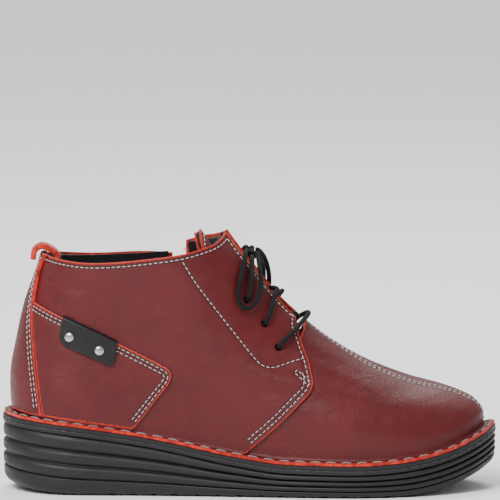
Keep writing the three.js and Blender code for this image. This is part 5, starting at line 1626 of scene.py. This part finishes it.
def edge_round(rows, columns):
    """One on a grid's border, zero inside."""
    mark = np.zeros((rows, columns))
    mark[-1] = mark[:, 0] = mark[:, -1] = 1
    return mark


def slab_from(outer, inner, name, finishes, index_rim=0, index_back=0, marks=False):
    """Closed slab from two equal grids of points; marks gives it the leather's two distances."""
    rows, columns = outer.shape[:2]
    n = rows * columns
    ids = np.arange(n).reshape(rows, columns)
    loop = np.concatenate([ids[0, :-1], ids[:-1, -1], ids[-1, :0:-1], ids[:0:-1, 0]])
    nxt = np.roll(loop, -1)
    out, back = outer.reshape(-1, 3), inner.reshape(-1, 3)
    middle = 0.5 * (out[loop] + back[loop])
    m = np.arange(len(loop)) + 2 * n
    points = np.concatenate([out, back, middle])
    front = grid_faces(rows, columns)
    blocks = [front, front[:, ::-1] + n, np.stack([loop, m, np.roll(m, -1), nxt], -1),
              np.stack([m, loop + n, nxt + n, np.roll(m, -1)], -1)]
    p = out[front]
    normal = (out - back)[front[:, 0]]
    if (np.cross(p[:, 1] - p[:, 0], p[:, 2] - p[:, 0]) * normal).sum() < 0:
        blocks = turned(blocks)
    index = np.concatenate([np.zeros(len(front)), np.full(len(front), index_back),
                            np.full(2 * len(loop), index_rim)]).astype(int)
    given = {}
    if marks:
        cut = nearest(out, [out[loop]])
        cut[loop] = 0
        given = {"rim": np.concatenate([cut, cut, cut[loop]]),
                 "seam": np.full(len(points), NO_SEAM)}
    return mesh_piece(name, points, blocks, finishes, index=index, marks=given)


settle(tab_piece(), "boot", "black_leather", "tab")

# %% [markdown]
# Each rivet is a low dome on a short shank that goes through tab, patch and quarter. Half a
# sphere on a cylinder would leave a hard corner, so it is turned like on a lathe, from one
# profile.

# %% Rivets
def rivet_piece(name, place):
    """Lathe profile turned about the leather's normal: point = centre + r (cos a, sin a) + h n."""
    phi, zeta = side_line([place, place], OUTER, 2)[0]
    normal = form_normal(phi, zeta)
    side = unit(np.cross(normal, [0, 0, 1.0]))
    up = np.cross(side, normal)
    seat = TAB[1] + 0.15
    turn = np.linspace(0, math.pi / 2, 12)
    radius = np.concatenate([[1.2, 1.2, 2.45, 2.75], 2.75 * np.cos(turn) ** 0.9, [0.05]])
    height = np.concatenate([[PATCH[0], seat, seat, seat + 0.12], seat + 0.3 + 1.15 * np.sin(turn),
                             [seat + 1.45]])
    angle = np.linspace(0, 2 * math.pi, 40, endpoint=False)
    ring = np.cos(angle)[:, None] * side + np.sin(angle)[:, None] * up
    centre = form_point(phi, zeta) + normal * float(dent(phi, zeta))
    points = centre + radius[:, None, None] * ring[None] + (height[:, None] * normal)[:, None]
    count = len(radius)
    first = np.arange(1, 39)
    caps = [np.stack([np.zeros(38, int), first + 1, first], -1),
            np.stack([np.zeros(38, int), first, first + 1], -1) + (count - 1) * 40]
    faces = [grid_faces(count, 40, True), *caps]
    p = points.reshape(-1, 3)
    quad = faces[0][200]
    facing = np.cross(p[quad[1]] - p[quad[0]], p[quad[2]] - p[quad[0]]) @ (p[quad[0]] - centre)
    if facing < 0:
        faces = turned(faces)
    return mesh_piece(name, p, faces, [nickel], sharp=40)


for word, place in zip(("rear", "front"), RIVETS):
    settle(rivet_piece(f"rivet_dome_{word}", place), "boot", "nickel", f"rivet_{word}")

# %% [markdown]
# ## Pull loop
# A strip of suede goes up from inside the collar, over it and down onto the strap. An array of
# links would be stiff. It is a flat section carried along a bent path, with slightly wavy edges.

# %% Pull loop
LOOP_WIDTH, LOOP_THICK = 12, 3.0


def pull_loop():
    """Strip of a width along a path in the boot's middle plane; its edges are slightly wavy."""
    _, heel_zeta = locate(np.array([-0.86 * HALF - 20]), np.array([sole_top(-0.86 * HALF) + 93]), 1)
    zeta = float(heel_zeta[0])
    out = STRAP[1] + GAP + LOOP_THICK / 2
    inside = -2.9 - GAP - LOOP_THICK / 2
    at = lambda depth, rise, push=0.0: form_at_heel(zeta + rise, depth) + [push, 0]
    spots = np.array([at(out, -5.5, -0.9), at(out, -3, -1.3), at(out, 0.2, -1.6),
                      at(out * 0.75, 2.6, -0.9), at(inside * 0.2, 2.5), at(inside, 0.2, 0.6),
                      at(inside, -6, 0.8)])
    path = through(np.stack([spots[:, 0], 0 * spots[:, 0], spots[:, 1]], -1), 0.5)
    tangent = unit(np.gradient(path, axis=0))
    normal = np.stack([-tangent[:, 2], 0 * tangent[:, 0], tangent[:, 0]], -1)
    across = np.linspace(-1, 1, 25)
    run = np.linspace(0, 1, len(path))
    half = LOOP_WIDTH / 2 + 0.25 * np.sin(run * 23) - 0.1
    bulge = 0.35 * np.cos(across * math.pi / 2)[None] + 0.12 * np.sin(run * 17)[:, None]
    width = across[None] * half[:, None]
    sheet = path[:, None] + np.stack([0 * width, width, 0 * width], -1)
    round_off = np.where(np.abs(across) > 0.97, 0.5, 0)[None]
    faces = [sheet + normal[:, None] * (sign * (LOOP_THICK / 2 - round_off) + bulge)[..., None]
             for sign in (1, -1)]
    return slab_from(faces[0], faces[1], "pull_loop_suede", [suede, cut_edge], index_rim=1)


def form_at_heel(zeta, depth):
    """x and z of a layer at the middle of the heel."""
    point = form_point(0.0, zeta) + form_normal(0.0, zeta) * depth
    return np.array([point[0], point[2]])


settle(pull_loop(), "boot", "suede", "pull_loop")


# %% [markdown]
# ## Linings
# A dark fleece lines the quarters up to the collar and stands a little above it at the gap for
# the zip. It could be a copy of the leather scaled inwards, but would cut through it at the
# bends. It is cut on the same form, at its own depth.

# %% Linings
LINING_DEPTHS = (-2.9, -1.55)
LINING_RISE, LINING_IN = -0.9, 1.2


def lining_panel(word, patches):
    """Fleece between two depths inside a quarter."""
    return leather_panel(f"lining_{word}", f"quarter_lining_{word}", patches, LINING_DEPTHS, GAP,
                         finishes=[fleece] * 3, slot="textile")


def lining_front(side):
    """Front edge of a quarter's lining, below the throat."""
    places = [[-0.1, 0.1], [-0.1, 0.2], [0.13, 0.45], [0.15, 0.6], [0.14, 0.745]]
    return side_line(places, side, 120)


def raised(line, rise):
    """The line moved up the form."""
    return line + np.array([0, rise])


def lining_outer():
    """One patch from the heel to the throat."""
    inset = inset_line(facing[OUTER], (0, 0), LINING_IN, -OUTER)
    collar = raised(side_line(OUTER_COLLAR, OUTER, 200, 2), LINING_RISE)
    top = even_on_form(np.concatenate([collar[:-6], inset[-1:]]), 150)
    left = even_on_form(np.linspace([-HEEL_PHI, 10], [-HEEL_PHI, top[0, 1]], 100), 90)
    right = even_on_form(np.concatenate([lining_front(OUTER)[:-1], inset]), 90)
    bottom = even_on_form(np.array([left[0], right[0]]), 150)
    left[-1], right[-1] = top[0], top[-1]
    return [coons(bottom, top, left, right)]


lining_panel("outer", lining_outer())


def lining_inner():
    """Rear and front parts that meet under the zip's slot."""
    inset = inset_line(facing[INNER], (0, 0), LINING_IN, -INNER)
    wide = (ZIP_SLOT + 5) / 2
    u = [(ZIP_X + k * wide) / HALF for k in (-1, 1)]
    low_height = tall(ZIP_X / HALF) - 0.04
    tops = [1.008, 1.108]
    edges = [even_on_form(side_line([[value, low_height], [value, top]], INNER, 60), 70)
             for value, top in zip(u, tops)]
    feet = [even_on_form(side_line([[value, 0.1], [value, low_height]], INNER, 30), 9)
            for value in u]
    collar = raised(side_line(COLLAR_REAR[:4], INNER, 160, 1), LINING_RISE)
    rear_top_line = even_on_form(np.concatenate([collar, edges[0][-1:]]), 80)
    front_top_line = even_on_form(np.concatenate([
        edges[1][-1:], raised(front_top[9:-4], LINING_RISE), inset[-1:]]), 80)
    heel = even_on_form(np.linspace([HEEL_PHI, 10], [HEEL_PHI, rear_top_line[0, 1]], 200), 78)
    front = even_on_form(np.concatenate([lining_front(INNER)[:-1], inset]), 78)
    for low, high in zip(feet, edges):
        high[0] = low[-1]
    heel[-1], front[-1] = rear_top_line[0], front_top_line[-1]
    line = lambda a, b, count: even_on_form(np.array([a, b]), count)
    bottoms, middles = ([line(heel[row], feet[0][end], 80), line(feet[0][end], feet[1][end], 14),
                         line(feet[1][end], front[row], 80)] for row, end in ((0, 0), (8, -1)))
    return [coons(bottoms[0], middles[0], heel[:9], feet[0]),
            coons(bottoms[1], middles[1], feet[0], feet[1]),
            coons(bottoms[2], middles[2], feet[1], front[:9]),
            coons(middles[0], rear_top_line, heel[8:], edges[0]),
            coons(middles[2], front_top_line, edges[1], front[8:])]


lining_panel("inner", lining_inner())

# %% [markdown]
# ## Tongue
# Two leathers with a soft pad between them, bent round the instep. The raw red edges of both show
# at its top, with the dark pad between. A cloth simulation would crumple it, but this tongue is
# held flat by the lace, so each leaf is a grid at its own depth.

# %% Tongue
TONGUE_LEAVES = {"tongue": (0.0, 1.4), "tongue_padding": (1.7, 3.3), "tongue_back": (3.6, 4.6)}


def tongue_grid(depth, inset=0.0, rows=120, columns=84):
    """Leaf at a depth in from the outer face: it wraps the instep and hangs lower at its sides."""
    t = np.linspace(-1, 1, columns)[None] * (1 - inset)
    s = np.linspace(0, 1, rows)[:, None] * (1 - inset * 0.3)
    corner = 0.035 * (np.clip((np.abs(t) - 0.72) / 0.28, 0, 1) ** 2)
    s_here = s * (1 - corner)
    spread = 0.64 * (0.8 + 0.2 * smooth_step(s_here / 0.5))
    phi = math.pi - t * spread
    zeta = SHAFT * (0.66 + s_here * 0.645) - 11 * t * t
    below = 6.6 + 6 * smooth_step(s_here) + depth
    point = form_point(phi, zeta) - form_normal(phi, zeta) * below[..., None]
    ripple = 0.12 * np.sin(9 * t + 5 * s) * np.sin(math.pi * s)
    return point - form_normal(phi, zeta) * ripple[..., None]


for leaf, (near, far) in TONGUE_LEAVES.items():
    soft = leaf == "tongue_padding"
    inset = 0.02 if soft else 0.0
    outer = tongue_grid(near, inset=inset)
    inner = tongue_grid(far, inset=inset)
    if not soft:
        rounded = 0.12 * edge_round(*outer.shape[:2])[..., None]
        outer = outer * (1 - rounded) + inner * rounded
    finishes = [pad_textile] if soft else [wine_leather, cut_edge, flesh_side]
    piece = slab_from(outer, inner, f"{leaf}_leaf", finishes, index_rim=0 if soft else 1,
                      index_back=0 if soft else 2, marks=not soft)
    settle(piece, "tongue", "foam" if soft else "leather", leaf)


def tongue_stitches():
    """Row 3 mm in from the tongue's edge, on its outer leather."""
    grid = tongue_grid(0.0)
    rows, columns = grid.shape[:2]
    side = np.arange(8, rows - 5)
    path = np.concatenate([grid[side, 4], grid[rows - 5, 4:-4], grid[side[::-1], -5]])
    facing_out = unit(grid - tongue_grid(1.0))
    normals = np.concatenate([facing_out[side, 4], facing_out[rows - 5, 4:-4],
                              facing_out[side[::-1], -5]])
    run = run_along(path)
    count = int(run[-1] / STITCH_PITCH)
    stops = (np.arange(count) + 0.5) * run[-1] / count
    along = unit(stops_on(path, run, stops + 0.6) - stops_on(path, run, stops - 0.6))
    beads, quads = stitch_beads(stops_on(path, run, stops), along, stops_on(normals, run, stops),
                                2.2, 0.36)
    return mesh_piece("stitches_tongue", beads, turned([quads]), [pale_thread])


settle(tongue_stitches(), "tongue", "textile")

# %% [markdown]
# ## Stitching the upper to the sole
# The turned-out foot is sewn down all round with thick thread, a few millimetres in from the raw
# edge. A second row in black lies in a groove of the midsole's side. An array along a curve would
# do, but stretches its last stitch. Even angles give whole stitches all round.

# %% Sole stitches
def flat_rows(name, count, inset, height, length, radius, finish, upright):
    """Beads along the sole's outline: on its flat top, or on its side."""
    angles = even_angles(2 * (count // 2))
    xy = sole_outline(angles, np.full(len(angles), float(inset)))
    near = sole_outline(angles + 0.004, np.full(len(angles), float(inset)))
    centres = on_sole(xy, height)
    ahead = unit(on_sole(near, height) - centres)
    if upright:
        normal = np.tile([0.0, 0.0, 1.0], (len(centres), 1))
    else:
        normal = np.cross(ahead, [0.0, 0.0, 1.0])
    tilt = 0.06 * np.sin(np.arange(len(centres)) * 2.3)[:, None]
    beads, quads = stitch_beads(centres, ahead + np.cross(normal, ahead) * tilt, normal, length,
                                radius)
    return settle(mesh_piece(name, beads, turned([quads]), [finish]), "boot", "textile")


flat_rows("stitches_margin", 72, SETBACK + 2.0, GAP + MARGIN + 0.05, 6.2, 0.46, grey_thread, True)
flat_rows("stitches_midsole", 112, 0.15, -2.75, 4.4, 0.5, black_thread, False)


# %% [markdown]
# ## Zip
# Each row of teeth is a line of small moulded blocks with a nib, closed on the other row. An
# array of one block would stand upright. Here each follows the lean of the zip, and a tooth has
# only a few faces, because there are dozens.

# %% Zip teeth
def zip_end(z):
    """Point of the form behind the zip at a height."""
    phi, zeta = locate(np.array([ZIP_X]), np.array([z]), 1)
    return form_point(phi, zeta)[0]


zip_high = float(sole_top(ZIP_X)) + 96
zip_foot, zip_head = zip_end(zip_low), zip_end(zip_high)
zip_lean = (zip_head[1] - zip_foot[1]) / (zip_head[2] - zip_foot[2])
TEETH_IN, TEETH_OUT = -0.2, 0.9


def zip_teeth(side):
    """Blocks every 1.5 mm: an eight-cornered section across the zip, tapered to a nib."""
    pitch = 1.5
    z = np.arange(zip_low + 3.3 + (0.75 if side > 0 else 0), zip_high - 3.4, pitch)
    outline_x = np.array([2.85, 1.6, 0.75, 0.1, 0.1, 0.75, 1.6, 2.85])
    outline_z = np.array([-0.42, -0.42, -0.52, -0.34, 0.34, 0.52, 0.42, 0.42])
    levels = np.array([[TEETH_IN, 0.9], [TEETH_IN + 0.15, 1], [TEETH_OUT - 0.2, 1],
                       [TEETH_OUT, 0.82]])
    x = ZIP_X + side * (1.475 + (outline_x - 1.475)[None] * levels[:, 1:])
    dz = outline_z[None] * levels[:, 1:]
    zz = z[:, None, None] + dz[None]
    y = zip_foot[1] + zip_lean * (zz - zip_foot[2]) + levels[None, :, :1]
    points = np.stack([np.broadcast_to(x[None], zz.shape), y, zz], -1)
    wall = grid_faces(4, 8, True)
    caps = np.array([[0, 1, 2, 7], [2, 3, 4, 5], [2, 5, 6, 7],
                     [31, 26, 25, 24], [29, 28, 27, 26], [31, 30, 29, 26]])
    faces = np.concatenate([wall, caps])
    if side > 0:
        faces = faces[:, ::-1]
    base = np.arange(len(z))[:, None, None] * 32
    return points.reshape(-1, 3), (faces[None] + base).reshape(-1, 4)


for side, word in ((-1, "rear"), (1, "front")):
    points, faces = zip_teeth(side)
    piece = mesh_piece(f"zip_teeth_row_{word}", points, [faces], [tip_plastic], sharp=35)
    settle(piece, "boot", "plastic", f"zip_teeth_{word}")

# %% [markdown]
# ## Finishes for the frame's own solids
# Some solids of the frame are already the right shape: boards, shank, foams, tapes and the zip's
# metal. They could be made again, but nothing would be gained. They keep their mesh and only get
# the finish of what they are made of.

# %% Finishes by slot
NODE_FINISH = {
    "insole_board": board_weave, "toe_puff": board_weave, "heel_counter": board_weave,
    "lace_backing_outer": board_weave, "lace_backing_inner": board_weave, "shank": blackened,
    "footbed": foam_finish, "collar_padding_outer": foam_finish,
    "collar_padding_inner": foam_finish, "footbed_cover": pad_textile, "vamp_lining": fleece,
    "zip_tape_rear": tape_weave, "zip_tape_front": tape_weave,
    "zip_top_stop_rear": nickel, "zip_top_stop_front": nickel, "zip_bottom_stop": nickel,
    "zip_slider": nickel, "zip_pull": nickel,
}
shown = [node for node in bpy.data.objects if "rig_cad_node" in node and not node.hide_render]
for node in shown:
    for spot in node.material_slots:
        spot.material = NODE_FINISH[node["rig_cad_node"]]

# %% [markdown]
# ## Floor and light
# The boot stands on a plain pale floor. A backdrop would hide it from behind, so the floor is
# wide instead. A broad key light from the outer side, a weak one from behind and a wide soft sun
# give the shine of a studio without hard shadows.

# %% Floor and light
floor_finish = bpy.data.materials.new("floor")
floor_finish.use_nodes = True
floor_shader = floor_finish.node_tree.nodes["Principled BSDF"]
floor_shader.inputs["Base Color"].default_value = (0.96, 0.96, 0.96, 1)
floor_shader.inputs["Roughness"].default_value = 0.8
FLOOR_HALF = 7  # wide enough that the camera sees nothing but floor
floor_mesh = bpy.data.meshes.new("floor")
floor_corners = FLOOR_HALF * np.array([[-1, -1, 0], [1, -1, 0], [1, 1, 0], [-1, 1, 0]])
floor_mesh.from_pydata(floor_corners.tolist(), [], [(0, 1, 2, 3)])
floor_mesh.materials.append(floor_finish)
floor = bpy.data.objects.new("floor", floor_mesh)
bpy.context.scene.collection.objects.link(floor)

world = bpy.data.worlds.new("studio")
bpy.context.scene.world = world
world.use_nodes = True
world.node_tree.nodes["Background"].inputs["Color"].default_value = (1, 1, 1, 1)
world.node_tree.nodes["Background"].inputs["Strength"].default_value = 0.6


def soft_light(name, place, size, power):
    """Square light that looks at the middle of the boot."""
    data = bpy.data.lights.new(name, "AREA")
    data.size, data.energy = size, power
    light = bpy.data.objects.new(name, data)
    light.location = place
    look = Vector((0, 0, 0.07)) - Vector(place)
    light.rotation_euler = look.to_track_quat("-Z", "Y").to_euler()
    bpy.context.scene.collection.objects.link(light)


soft_light("key", (-0.85, -1.4, 1.5), 0.7, 40)
soft_light("rim", (0.2, 1.0, 1.4), 0.8, 16)
sky_data = bpy.data.lights.new("sky", "SUN")
sky_data.energy, sky_data.angle = 1.7, math.radians(50)
sky = bpy.data.objects.new("sky", sky_data)
sky.rotation_euler = (math.radians(28), math.radians(-24), 0)
bpy.context.scene.collection.objects.link(sky)
